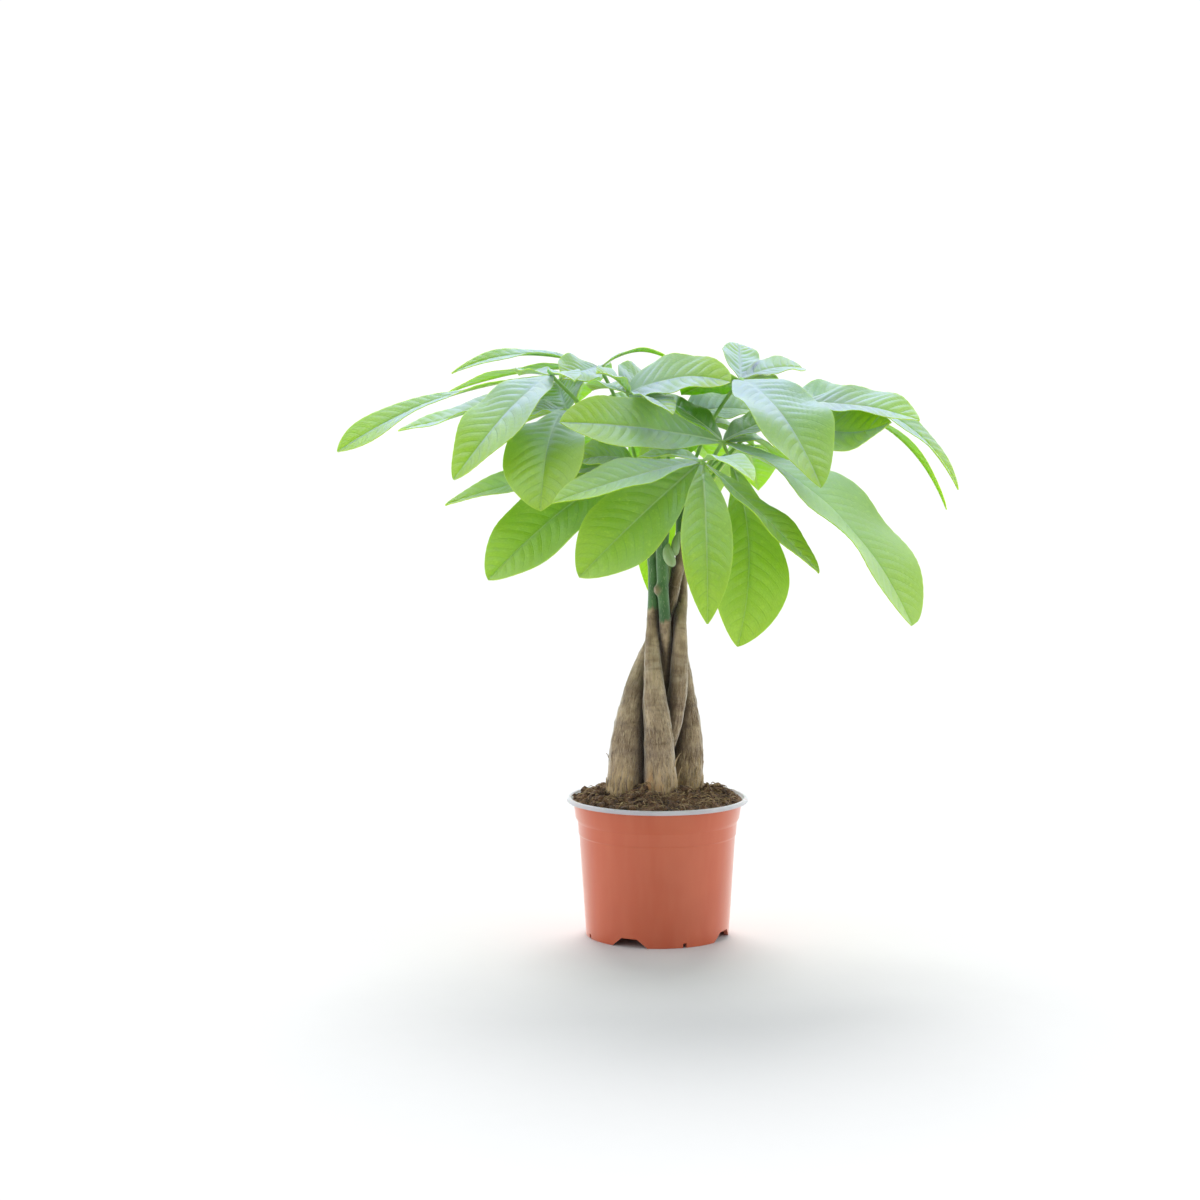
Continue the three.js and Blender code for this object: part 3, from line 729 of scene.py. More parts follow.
def stalk_material(name, blotches, main, pale):
    """Fresh green skin with pale flecks: for the stalks and the buds."""
    skin = Finish(name, {
        "Subsurface Weight": 0.2, "Subsurface Scale": 1.5 * MM, "Specular IOR Level": 0.45})
    slow, fast = skin.use(blotches, Place=skin.place, Size=0.02)
    flecks = skin.spread(skin.cloud(skin.place, 900.0, 2.0), 0.62, 0.75, 0.0, 0.35)
    colour = skin.coats(skin.blend(skin.spread(slow, 0.3, 0.7), main, pale), (flecks, STALK_FLECKS))
    streaks = skin.cloud(skin.place, (1500.0, 1500.0, 160.0))
    return skin.done(colour, skin.line(fast, 0.25, 0.33), streaks, 0.4, 0.2)


def bark_material(blotches):
    """Grey-brown bark that turns to green skin where the piece's green number says so."""
    bark = Finish("Bark", {"Specular IOR Level": 0.3, "Sheen Weight": 0.3})
    # The grain runs along the stem: where a point lies round it, and how far up, in metres.
    grain = bark.attribute("grain", "Vector")
    green, scar, stain = bark.parts(bark.attribute("bark", "Vector"))
    # Painted shade where the stem faces a neighbour close by.
    crevice_shade = bark.attribute("crevice_shade", "Fac")
    slow, fast = bark.use(blotches, Place=bark.place, Size=0.016)
    patches = bark.spread(slow, 0.3, 0.7)
    streaks = bark.cloud(grain, (760.0, 760.0, 115.0), 5.0, 0.68, 0.9)
    hairs = bark.cloud(grain, (2300.0, 2300.0, 330.0), 2.0, 0.6, 0.3)
    bands = bark.cloud(grain, (30.0, 30.0, 130.0), 4.0, 0.6, 0.8)
    height_above = bark.parts(bark.place)[2]
    aged = bark.spread(height_above, 0.2, 0.13, 0.35, 1.0)
    foot = bark.times(
        bark.spread(height_above, 0.125, 0.094, 0.0, 0.85), bark.spread(streaks, 0.54, 0.46))
    # Dry fibres catch the light where the bark turns away.
    # A painted rim highlight: the bark is painted pale where it turns away from the eye, but not in the
    # painted shade between stems.
    fibres = bark.times(bark.spread(bark.facing(0.35), 0.3, 0.95, 0.0, 0.75), bark.rest(crevice_shade))
    colour = bark.coats(
        bark.blend(patches, BARK["main"], BARK["pale"]),
        (bark.spread(bands, 0.48, 0.66, 0.0, 0.4), BARK["dark band"]),
        (bark.spread(bands, 0.46, 0.3, 0.0, 0.35), BARK["light band"]),
        (bark.times(bark.spread(streaks, 0.53, 0.66, 0.0, 0.65), aged), BARK["dark streak"]),
        (bark.times(bark.spread(streaks, 0.46, 0.32, 0.0, 0.65), aged), BARK["light streak"]),
        (bark.times(bark.spread(hairs, 0.55, 0.66, 0.0, 0.6), aged), BARK["dark hair"]),
        (bark.times(bark.spread(hairs, 0.42, 0.3, 0.0, 0.5), aged), BARK["light hair"]),
        (foot, BARK["foot"]),
        (bark.times(scar, 0.42), BARK["scar"]),
        (bark.times(crevice_shade, 0.92), BARK["crevice_shade"]),
        (bark.times(stain, 0.65), BARK["stain"]),
        (fibres, BARK["fibres"]))
    skin = bark.blend(patches, BARK["green"], BARK["pale green"])
    skin = bark.blend(bark.spread(hairs, 0.6, 0.68, 0.0, 0.7), skin, BARK["green dots"])
    rough = bark.line(green, -0.4, 0.82)
    height = bark.line(fast, 0.5, bark.line(hairs, -0.5, bark.times(streaks, -1.2)))
    height = bark.times(height, bark.line(green, -0.85, 1.0))
    return bark.done(
        bark.blend(green, colour, skin), bark.line(fast, 0.14, rough), height, 0.9, 1.0)


def peat_material(name, blotches, dark, main, pale):
    """Crumbly, fibrous and dry: also for torn bark."""
    peat = Finish(name, {"Specular IOR Level": 0.2, "Sheen Weight": 0.15})
    slow, fast = peat.use(blotches, Place=peat.place, Size=0.006)
    threads = peat.cloud(peat.place, (620.0, 420.0, 700.0), 4.0, 0.72, 2.5)
    colour = peat.coats(
        peat.blend(peat.spread(slow, 0.35, 0.62), dark, main),
        (peat.spread(fast, 0.5, 0.72, 0.0, 0.75), pale),
        (peat.spread(threads, 0.6, 0.68, 0.0, 0.6), pale))
    height = peat.calc("ADD", fast, threads)
    return peat.done(colour, peat.line(fast, 0.2, 0.78), height, 0.9, 0.8)


def plastic_material(name, blotches, roughness, main, pale, dark, rim_highlight):
    """Thin moulded plastic: faint flow marks, turned lines, scuffs and a little dust."""
    plastic = Finish(name, {
        "Specular IOR Level": 0.5, "IOR": 1.5, "Subsurface Weight": 0.08, "Subsurface Scale": 2 * MM})
    slow, fast = plastic.use(blotches, Place=plastic.place, Size=0.05)
    flow = plastic.cloud(plastic.place, (55.0, 55.0, 9.0))
    scuffs = plastic.cloud(plastic.place, (300.0, 300.0, 1500.0), 5.0, 0.7)
    lines = plastic.cloud(plastic.place, (12.0, 12.0, 1900.0), 2.0)
    # A painted rim highlight: the plastic is painted pale where it turns away from the eye.
    painted_rim_highlight = plastic.spread(plastic.facing(0.3), 0.25, 0.9, 0.0, 0.7)
    colour = plastic.coats(
        main,
        (plastic.spread(flow, 0.35, 0.68, 0.0, 0.5), pale),
        (plastic.spread(slow, 0.45, 0.75, 0.0, 0.35), dark),
        (plastic.spread(scuffs, 0.66, 0.74, 0.0, 0.3), pale),
        (painted_rim_highlight, rim_highlight))
    gloss = plastic.line(fast, 0.16, roughness - 0.08)
    gloss = plastic.line(plastic.spread(scuffs, 0.55, 0.72), 0.12, gloss)
    return plastic.done(colour, gloss, plastic.line(lines, 0.35, fast), 0.16, 0.3)


# ---- the pot
def pot_wall_radius(z):
    return FOOT_RADIUS + (BODY_TOP_RADIUS - FOOT_RADIUS) * z / BODY_TOP_Z


def pot_profile():
    """The pot's section, from the edge of the floor's underside round to the floor inside."""
    floor_top = FLOOR_Z + WALL
    lip_foot = POT_HEIGHT - LIP_HEIGHT
    inner_foot = FOOT_RADIUS - FOOT_WIDTH
    ring_foot = RING_Z - RING_BEVEL
    return [
        (inner_foot, FLOOR_Z),
        (inner_foot, 0),
        (FOOT_RADIUS, 0),
        *((pot_wall_radius(z), z) for z in WALL_RINGS),
        (pot_wall_radius(ring_foot), ring_foot),
        (pot_wall_radius(RING_Z) + RING_STEP, RING_Z),
        (BODY_TOP_RADIUS + RING_STEP, BODY_TOP_Z),
        (COLLAR_FOOT_RADIUS, COLLAR_FOOT_Z),
        (COLLAR_TOP_RADIUS, lip_foot - LIP_EDGE),
        (COLLAR_TOP_RADIUS + COLLAR_FLARE, lip_foot),
        (LIP_RADIUS - LIP_ROUND_ACROSS, lip_foot),
        (LIP_RADIUS, lip_foot + LIP_ROUND_UP),
        (LIP_RADIUS, POT_HEIGHT - LIP_EDGE),
        (LIP_RADIUS - LIP_EDGE, POT_HEIGHT),
        (LIP_RADIUS - LIP_WIDTH, POT_HEIGHT),
        (MOUTH_RADIUS + LIP_ROUND_ACROSS, POT_HEIGHT - LIP_ROUND_UP),
        (MOUTH_RADIUS, POT_HEIGHT - LIP_FALL),
        (COLLAR_TOP_RADIUS - WALL, lip_foot - LIP_EDGE),
        (COLLAR_FOOT_RADIUS - WALL, COLLAR_FOOT_Z),
        (BODY_TOP_RADIUS - WALL, BODY_TOP_Z),
        (pot_wall_radius(floor_top) - WALL, floor_top),
    ]


def turn_profile(name, profile, sides):
    """A filled circle, carried along a profile by extruding and resizing its edge, then closed."""
    (radius, z), *steps = profile
    deselect_all()
    bpy.ops.mesh.primitive_circle_add(
        vertices=sides, radius=radius * MM, fill_type="NGON", location=(0, 0, z * MM))
    turned = take_new(name)
    bpy.ops.object.mode_set(mode="EDIT")
    bpy.ops.mesh.select_mode(type="EDGE")
    bpy.ops.mesh.select_all(action="SELECT")
    bpy.ops.mesh.region_to_loop()
    for next_radius, next_z in steps:
        bpy.ops.mesh.extrude_edges_move(TRANSFORM_OT_translate={"value": (0, 0, (next_z - z) * MM)})
        grow = next_radius / radius
        bpy.ops.transform.resize(value=(grow, grow, 1), center_override=(0, 0, next_z * MM))
        radius, z = next_radius, next_z
    bpy.ops.mesh.edge_face_add()
    bpy.ops.mesh.select_all(action="SELECT")
    bpy.ops.mesh.normals_make_consistent(inside=False)
    bpy.ops.object.mode_set(mode="OBJECT")
    return turned


def foot_cutter(width, height, slant, turn):
    """A block across the foot ring, with its sides slanted in towards its top."""
    widest = width + 2 * slant / height * CUTTER_REACH
    deselect_all()
    bpy.ops.mesh.primitive_cube_add(
        size=1, location=(0, -FOOT_RADIUS * MM, (height - CUTTER_REACH) / 2 * MM),
        scale=(widest * MM, 2 * CUTTER_REACH * MM, (height + CUTTER_REACH) * MM))
    cutter = take_new("foot_cutter")
    if slant:
        bpy.ops.object.mode_set(mode="EDIT")
        bpy.ops.mesh.select_mode(type="VERT")
        bpy.ops.mesh.select_all(action="DESELECT")
        block = bmesh.from_edit_mesh(cutter.data)
        for corner in block.verts:
            corner.select = corner.co.z > 0
        block.select_flush(True)
        bmesh.update_edit_mesh(cutter.data)
        bpy.ops.transform.resize(
            value=((width - 2 * slant) / widest, 1, 1), center_override=(0, -FOOT_RADIUS * MM, 0))
        bpy.ops.object.mode_set(mode="OBJECT")
    move_vertices(cutter, vertices(cutter) @ about_z(math.radians(turn)).T)
    return cutter


def drain_cutter(turn):
    angle = math.radians(turn)
    middle = (DRAIN_CIRCLE * math.cos(angle) * MM, DRAIN_CIRCLE * math.sin(angle) * MM, FLOOR_Z * MM)
    deselect_all()
    bpy.ops.mesh.primitive_cylinder_add(
        vertices=DRAIN_SIDES, radius=DRAIN_RADIUS * MM, depth=DRAIN_DEPTH * MM, location=middle)
    return take_new("drain_cutter")


def dent_pot(pot):
    """The faint unevenness of a thin moulded wall."""
    places = vertices(pot)
    angle = np.arctan2(places[:, 1], places[:, 0])
    dent = MM * smoothstep(*DENTS_FROM, np.hypot(places[:, 0], places[:, 1])) * sum(
        depth * np.sin(waves * angle + turn) * np.sin(places[:, 2] * climb + shift)
        for depth, waves, turn, climb, shift in DENTS)
    places[:, 0] += dent * np.cos(angle)
    places[:, 1] += dent * np.sin(angle)
    move_vertices(pot, places)


def make_pot(wall_finish, lip_finish):
    pot = turn_profile("pot_shell", pot_profile(), POT_SIDES)
    apply_modifier(
        pot, "BEVEL", width=POT_EDGE_ROUND * MM, segments=3, limit_method="ANGLE",
        angle_limit=math.radians(22))
    dent_pot(pot)
    cutters = []
    for k in range(NOTCH_COUNT):
        turn = 360 / NOTCH_COUNT * k
        cutters.append(foot_cutter(NOTCH_WIDTH, NOTCH_HEIGHT, NOTCH_SLANT, NOTCH_TURN + turn))
        cutters.append(foot_cutter(SLIT_WIDTH, SLIT_HEIGHT, 0, SLIT_TURN + turn))
    cutters += [drain_cutter(360 / DRAIN_COUNT * k) for k in range(DRAIN_COUNT)]
    cutter = join("pot_cutter", cutters)
    apply_modifier(pot, "BOOLEAN", operation="DIFFERENCE", object=cutter, solver="EXACT")
    discard(cutter)
    dress(pot, 32, wall_finish, lip_finish)
    lip_z = (POT_HEIGHT - LIP_HEIGHT - 0.1) * MM
    lip_inside = (COLLAR_TOP_RADIUS - WALL) * MM
    for face in pot.data.polygons:
        if face.center.z > lip_z and math.hypot(face.center.x, face.center.y) > lip_inside:
            face.material_index = 1
    return pot


# ---- the peat
def soil_top(x, y):
    share = np.hypot(x, y) / SOIL_EDGE_RADIUS
    mound = SOIL_MOUND * np.maximum(0, 1 - share * share)
    lumps = np.sin(LUMPS_X * x + 1) * np.cos(LUMPS_Y * y) + np.sin(LUMPS_SLANT * (x - y)) / 2
    return SOIL_EDGE_Z + mound + SOIL_LUMP * lumps * (1 - share)


def soil_surface(x, y):
    """The top of the peat with its lumps, in millimetres."""
    share = np.hypot(x, y) / SOIL_EDGE_RADIUS
    places = np.stack([x, y, np.zeros_like(x)], -1)
    coarse, middle, fine = (rise * noise_at(places, size, seed) for size, seed, rise in PEAT_LUMPS)
    heaps = sum(
        rise * bell(np.hypot(x - east, y - north), reach) for east, north, reach, rise in SOIL_HEAPS)
    lumps = heaps + np.maximum(coarse, PEAT_HOLLOWS) + np.abs(middle) + fine
    return soil_top(x, y) + lumps * (1 - 0.75 * smoothstep(0.8, 1.0, share))


def make_peat(finish):
    """A grid rolled to a disc, with its outer rows carried down inside the pot and under."""
    floor = FLOOR_Z + WALL + CLEARANCE
    gap = WALL + CLEARANCE
    stops, radii, heights = zip(
        (0.0, SOIL_EDGE_RADIUS, SOIL_EDGE_Z),
        (0.15, COLLAR_TOP_RADIUS - gap, POT_HEIGHT - LIP_HEIGHT - LIP_EDGE),
        (0.3, COLLAR_FOOT_RADIUS - gap, COLLAR_FOOT_Z),
        (0.5, BODY_TOP_RADIUS - gap, BODY_TOP_Z),
        (0.9, pot_wall_radius(floor) - gap, floor),
        (1.0, 0.0, floor))
    peat = flat_grid("peat_bed", SOIL_COLUMNS, SOIL_ROWS)
    flat = vertices(peat)
    angle = (flat[:, 0] + 1) * math.pi
    row = (1 - flat[:, 1]) / 2
    radius = SOIL_EDGE_RADIUS * np.minimum(row / SOIL_TOP_ROWS, 1)
    z = soil_surface(radius * np.cos(angle), radius * np.sin(angle))
    below = row > SOIL_TOP_ROWS + 1e-4
    down = (row - SOIL_TOP_ROWS) / (1 - SOIL_TOP_ROWS)
    radius = np.where(below, np.interp(down, stops, radii), radius)
    z = np.where(below, np.interp(down, stops, heights), z)
    move_vertices(peat, np.stack([radius * np.cos(angle), radius * np.sin(angle), z], -1) * MM)
    weld(peat)
    return dress(peat, 60, finish)


def crumb_shapes(rng):
    """A few rough crumbs of 20 faces, 1 mm in radius."""
    shapes = []
    for _ in range(CRUMB_KINDS):
        deselect_all()
        bpy.ops.mesh.primitive_ico_sphere_add(subdivisions=1, radius=1)
        ball = take_new("crumb")
        places = vertices(ball)
        places *= np.array([[rng.uniform(0.72, 1.25)] for _ in places])
        places[:, 2] *= 0.7
        shapes.append((places, [tuple(face.vertices) for face in ball.data.polygons]))
        discard(ball)
    return shapes


def fibre_shapes(rng):
    """A few bent hairs, three-sided, 1 mm long along X."""
    shapes = []
    for _ in range(FIBRE_KINDS):
        bend, wave, rise = rng.uniform(-0.6, 0.6), rng.uniform(-0.1, 0.1), rng.uniform(0.03, 0.35)
        places, faces = [], []
        for i in range(FIBRE_STEPS + 1):
            t = i / FIBRE_STEPS
            sway = bend * (t - 0.5) ** 2 + wave * math.sin(7 * t)
            centre = np.array([t - 0.5, sway, rise * math.sin(math.pi * t)])
            thick = FIBRE_THICKNESS * (1 - 0.6 * abs(2 * t - 1))
            for k in range(3):
                a = 2 * math.pi * k / 3
                places.append(centre + thick * np.array([0, math.cos(a), math.sin(a)]))
        for i in range(FIBRE_STEPS):
            for k in range(3):
                a, b = 3 * i + k, 3 * i + (k + 1) % 3
                faces.append((a, b, b + 3, a + 3))
        last = 3 * FIBRE_STEPS
        shapes.append((np.array(places), [*faces, (2, 1, 0), (last, last + 1, last + 2)]))
    return shapes


def scatter(name, shapes, placements, finish):
    """One mesh from many placed copies of a few small shapes."""
    places, faces, start = [], [], 0
    for pick, turn, shift in placements:
        shape, polygons = shapes[pick]
        places.append(shape @ turn.T + shift)
        faces += [tuple(index + start for index in polygon) for polygon in polygons]
        start += len(shape)
    mesh = bpy.data.meshes.new(name)
    mesh.from_pydata((np.concatenate(places) * MM).tolist(), [], faces)
    mesh.materials.append(finish)
    return place_in_scene(name, mesh)


def turn_matrix(rng, tilt):
    """A random turn about Z after a lean of up to tilt degrees."""
    spin = rng.uniform(0, 2 * math.pi)
    lean = math.radians(rng.uniform(-tilt, tilt))
    way = rng.uniform(0, math.pi)
    cos, sin = math.cos(lean), math.sin(lean)
    return about_z(way) @ np.array([[1, 0, 0], [0, cos, -sin], [0, sin, cos]]) @ about_z(spin)


def soil_places(rng, count, edge):
    """Random places on the peat, as rows of x, y and z."""
    spots = []
    while len(spots) < count:
        x, y = rng.uniform(-edge, edge), rng.uniform(-edge, edge)
        if math.hypot(x, y) < edge:
            spots.append((x, y))
    x, y = np.array(spots).T
    return np.stack([x, y, soil_surface(x, y)], -1)


def make_crumbs(finish, rng):
    placements = []
    for place in soil_places(rng, CRUMB_COUNT, SOIL_EDGE_RADIUS - CRUMB_MARGIN):
        size = CRUMB_LEAST + CRUMB_GROWTH * rng.random() ** CRUMB_RARITY
        room = min(1.0, (SOIL_EDGE_RADIUS - math.hypot(*place[:2])) / 4 + 0.3)
        turn = turn_matrix(rng, 60) * size * room
        placements.append((rng.randrange(CRUMB_KINDS), turn, place + [0, 0, 0.25 * size]))
    return scatter("peat_crumbs", crumb_shapes(rng), placements, finish)


def make_fibres(finish, rng):
    placements = []
    for place in soil_places(rng, FIBRE_COUNT, SOIL_EDGE_RADIUS - FIBRE_MARGIN):
        length = rng.uniform(*FIBRE_LENGTHS)
        kind = rng.randrange(FIBRE_KINDS)
        placements.append((kind, turn_matrix(rng, 14) * length, place + [0, 0, 0.25]))
    return scatter("peat_fibres", fibre_shapes(rng), placements, finish)


# ---- the stems
@dataclass
class Limb:
    """A round limb at even steps: its middles, the way ahead, two ways across, and its radii."""
    centre: np.ndarray
    ahead: np.ndarray
    front: np.ndarray
    side: np.ndarray
    radius: np.ndarray
    length: float

    def skin(self, height, way):
        """The place where the limb faces a compass direction, the way out there, and ahead."""
        k = int(np.argmin(np.abs(self.centre[:, 2] - height)))
        wanted = about_z(math.radians(way)) @ [1.0, 0.0, 0.0]
        out = unit(self.front[k] * (wanted @ self.front[k]) + self.side[k] * (wanted @ self.side[k]))
        return self.centre[k] + out * self.radius[k], out, self.ahead[k]


def catmull_rom(points, steps):
    """The centripetal curve through points, and how far along their list each place is."""
    ends = [2 * points[0] - points[1], *points, 2 * points[-1] - points[-2]]
    places, spans = [], []
    for i in range(len(points) - 1):
        p0, p1, p2, p3 = ends[i:i + 4]
        d0, d1, d2 = (np.linalg.norm(b - a) ** 0.5 for a, b in ((p0, p1), (p1, p2), (p2, p3)))
        t1 = ((p1 - p0) / d0 - (p2 - p0) / (d0 + d1) + (p2 - p1) / d1) * d1
        t2 = ((p2 - p1) / d1 - (p3 - p1) / (d1 + d2) + (p3 - p2) / d2) * d1
        for t in np.arange(steps) / steps:
            a, b = 2 * p1 - 2 * p2 + t1 + t2, -3 * p1 + 3 * p2 - 2 * t1 - t2
            places.append(((a * t + b) * t + t1) * t + p1)
            spans.append(i + t)
    return np.array([*places, points[-1]]), np.array([*spans, len(points) - 1])


def stem_limb(points):
    """A limb that runs smoothly through a stem's points."""
    points = np.array(points, dtype=float)
    curve, place = catmull_rom(points[:, :3], CURVE_STEPS)
    length = np.concatenate([[0], np.cumsum(np.linalg.norm(np.diff(curve, axis=0), axis=1))])
    even = np.linspace(0, 1, STEM_RINGS + 1) * length[-1]
    centre = np.stack([np.interp(even, length, curve[:, k]) for k in range(3)], -1)
    radius = np.interp(np.interp(even, length, place), np.arange(len(points)), points[:, 3])
    ahead = unit(np.gradient(centre, axis=0))
    front = unit(np.cross(ahead, np.cross(ahead, [0.0, -1.0, 0.0])))
    front *= np.sign(-front[:, 1:2])
    return Limb(centre, ahead, front, unit(np.cross(front, ahead)), radius, length[-1])


def roll_tube(name, limb, sides, rings):
    """A grid rolled up round a limb, and for each vertex its middle, way out, radius, angle and share."""
    tube = flat_grid(name, sides, rings)
    flat = vertices(tube)
    angle = (flat[:, 0] + 1) * math.pi
    share = (flat[:, 1] + 1) / 2
    steps = len(limb.centre) - 1
    index = np.clip(share * steps, 0, steps)
    low = np.floor(index).astype(int)
    high = np.minimum(low + 1, steps)
    part = (index - low)[:, None]

    def pick(values):
        return values[low] * (1 - part) + values[high] * part

    out = unit(pick(limb.front)) * np.cos(angle)[:, None] + unit(pick(limb.side)) * np.sin(angle)[:, None]
    return tube, pick(limb.centre), out, pick(limb.radius[:, None])[:, 0], angle, share


def ring_scars(name, z, angle, slow):
    """How far a stem's ring scars stand out, and how dark they are."""
    rise, dark = np.zeros_like(z), np.zeros_like(z)
    for height in RING_SCARS[name]:
        gap = z - height - 0.8 * np.sin(angle + height) - 1.1 * slow
        rise += 0.14 * bell(gap + 0.9, 0.7) - 0.13 * bell(gap, 0.5)
        dark = np.maximum(dark, bell(gap, 0.55) * (0.45 + 0.9 * np.clip(slow + 0.3, 0, 1)))
    return rise, dark


def knots(name, limb, surface):
    """How far a stem's knots stand out, how dark they are, and how much green they leave."""
    rise, dark, left = np.zeros(len(surface)), np.zeros(len(surface)), np.ones(len(surface))
    for owner, way, height, size, stand in KNOTS:
        if owner == name:
            spot, _, _ = limb.skin(height, way)
            gap = np.linalg.norm((surface - spot) * [1, 1, 0.8], axis=1) / size
            rise += stand * bell(gap, 1) - 0.35 * abs(stand) * bell(gap, 0.35)
            dark = np.maximum(dark, 0.9 * bell(gap - 0.75, 0.3) + 0.8 * bell(gap, 0.3))
            left *= 1 - 0.9 * np.exp(-(gap / 1.1) ** 4)
    return rise, dark, left


def rust_stain(name, limb, surface, rough):
    owner, way, height, size = STAIN
    if owner != name:
        return np.zeros(len(surface))
    spot, _, _ = limb.skin(height, way)
    gap = np.linalg.norm((surface - spot) * [1, 1, 0.55], axis=1)
    return np.clip(bell(gap, size) * np.clip(0.75 + rough, 0, 1), 0, 1)


def neighbour_shade(places, out, others):
    """Painted shade: how far places on one limb face another limb close by, 1 where they touch."""
    near = np.zeros(len(places))
    rows = np.arange(len(places))
    for other in others:
        away = other.centre[None, ::4] - places[:, None]
        gap = np.linalg.norm(away, axis=2) - other.radius[::4]
        nearest = gap.argmin(axis=1)
        towards = np.sum(unit(away[rows, nearest]) * out, axis=1)
        shadow = smoothstep(CREVICE_REACH, 0.0, gap[rows, nearest]) * np.clip(0.2 + 1.2 * towards, 0, 1)
        near = np.maximum(near, shadow)
    return near


def make_bud(bud, finish):
    """A bean-shaped bud, bent a little, with the fold of its scale down one side."""
    _, top, bottom, width = bud
    deselect_all()
    bpy.ops.mesh.primitive_uv_sphere_add(segments=32, ring_count=20, radius=1)
    piece = take_new("bud")
    ball = vertices(piece)
    start, end = np.array(top, dtype=float), np.array(bottom, dtype=float)
    ahead = unit(end - start)
    side = unit(np.cross(ahead, [0.0, -1.0, 0.0]))
    front = np.cross(side, ahead)
    t = (1 - ball[:, 2]) / 2
    angle = np.arctan2(ball[:, 1], ball[:, 0])
    fold = 1 - 0.22 * bell(angle - 1.9 - t, 0.25)
    thick = width / 2 * np.hypot(ball[:, 0], ball[:, 1]) * (0.72 + 0.36 * t) * fold
    bend = 0.14 * width * np.sin(math.pi * t)
    places = start + (end - start) * t[:, None]
    places += side * (thick * np.cos(angle) + bend)[:, None] + front * (thick * np.sin(angle))[:, None]
    move_vertices(piece, places * MM)
    return dress(piece, 60, finish)


def make_flake(limb, flake, finish, rng):
    """A shard of bark that stands out at its top from the stem it peels from."""
    _, way, height, length, width, curl = flake
    piece = flat_grid("flake", 4, 10)
    flat = vertices(piece)
    spot, out, ahead = limb.skin(height, way)
    t = (flat[:, 1] + 1) / 2
    taper = np.sin(math.pi * np.clip(0.12 + 0.88 * t, 0, 1)) ** 0.6 * (1 - 0.5 * t) + 0.05
    jag = np.array([rng.uniform(-0.12, 0.12) for _ in t])
    rise = (t - 0.5) * length
    aside = flat[:, 0] * width / 2 * (taper + jag * t) + rng.uniform(-0.15, 0.15) * rise
    lift = 0.15 + curl * t ** 2.2 + 0.25 * (flat[:, 0] ** 2)
    places = spot + out * lift[:, None] + np.cross(ahead, out) * aside[:, None] + ahead * rise[:, None]
    move_vertices(piece, places * MM)
    apply_modifier(piece, "SOLIDIFY", thickness=FLAKE_THICKNESS * MM, offset=0)
    return dress(piece, 50, finish)


def make_stem(name, limbs, finishes, rng):
    bark_finish, shard_finish, bud_finish = finishes
    piece_name = name.replace("stem", "bark")
    limb = limbs[name]
    tube, centre, out, radius, angle, share = roll_tube(piece_name, limb, STEM_SIDES, STEM_RINGS)
    seed = 1 + list(STEMS).index(name)
    surface = centre + out * radius[:, None]
    z = surface[:, 2]
    around = np.stack([radius * np.cos(angle), radius * np.sin(angle), share * limb.length], -1)
    slow = noise_at(around * [1, 1, 0.45], 8.0, seed)
    ridges = noise_at(around * [1, 1, 0.13], 1.5, seed + 0.4, 3)
    grain = noise_at(around * [1, 1, 0.3], 0.8, seed + 0.7, 2)
    flare = noise_at(around * [1, 1, 0.2], 5.0, seed + 2) * smoothstep(*FLARE_HEIGHTS, z)
    green = smoothstep(-1.5, 1.5, z - GREEN_FROM[name] - 2.5 * slow - 2 * ridges)
    old = smoothstep(*OLD_BARK_HEIGHTS, z)
    scar_rise, scar = ring_scars(name, z, angle, slow)
    knot_rise, knot_dark, green_left = knots(name, limb, surface)
    relief = slow * (0.15 + 0.045 * radius) + scar_rise + knot_rise + 0.9 * flare
    relief += (1 - green) * (ridges * (0.18 + 0.5 * old) + grain * 0.16)
    places = centre + out * (radius + relief)[:, None]
    # The top is rounded over, and the buried foot is drawn in to a point.
    tip = smoothstep(STEM_TIP, 1.0, share)
    places += (centre - places) * (1 - np.sqrt(np.clip(1 - tip ** 2, 0, 1)))[:, None]
    foot = share < 1e-6
    places[foot] = centre[foot] + (places[foot] - centre[foot]) * 1e-4
    move_vertices(tube, places * MM)
    others = [other for other in limbs.values() if other is not limb]
    facts = (
        green * green_left, np.clip(np.maximum(scar, knot_dark), 0, 1),
        rust_stain(name, limb, surface, 1.3 * ridges + slow))
    paint_points(tube, "grain", around * MM)
    # Painted shade where the stem faces its neighbours.
    paint_points(tube, "crevice_shade", neighbour_shade(surface, out, others))
    paint_points(tube, "bark", np.stack(facts, -1))
    weld(tube, 2e-6)
    parts = [dress(tube, 60, bark_finish)]
    parts += [make_flake(limb, flake, shard_finish, rng) for flake in FLAKES if flake[0] == name]
    parts += [make_bud(bud, bud_finish) for bud in BUDS if bud[0] == name]
    stem = join(piece_name, parts)
    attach(stem, "root")
    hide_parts(name)


# ---- the leaves
def complete(leaflet):
    return (*leaflet, *LEAFLET_PLAIN[len(leaflet):])


def blade_outline(share, widest, fullness):
    """Half the width of a leaflet as a share of its greatest half width."""
    peak = math.log(0.5) / math.log(widest)
    return np.clip(np.sin(math.pi * np.clip(share, 0, 1) ** peak), 0, 1) ** fullness


def blade_spine(hub, tip, arch, sway):
    """The midrib as start, bend and end, and the leaflet's own right."""
    start, end = np.array(hub, dtype=float), np.array(tip, dtype=float)
    chord = end - start
    right = unit(np.cross([chord[0], chord[1], 0.0], [0.0, 0.0, 1.0]))
    lift = unit(np.cross(right, chord))
    return start, (start + end) / 2 + 2 * arch * lift + 2 * sway * right, end, right


def bezier(start, bend, end, t):
    t = t[:, None]
    place = (1 - t) ** 2 * start + 2 * t * (1 - t) * bend + t ** 2 * end
    return place, unit(2 * (1 - t) * (bend - start) + 2 * t * (end - bend))


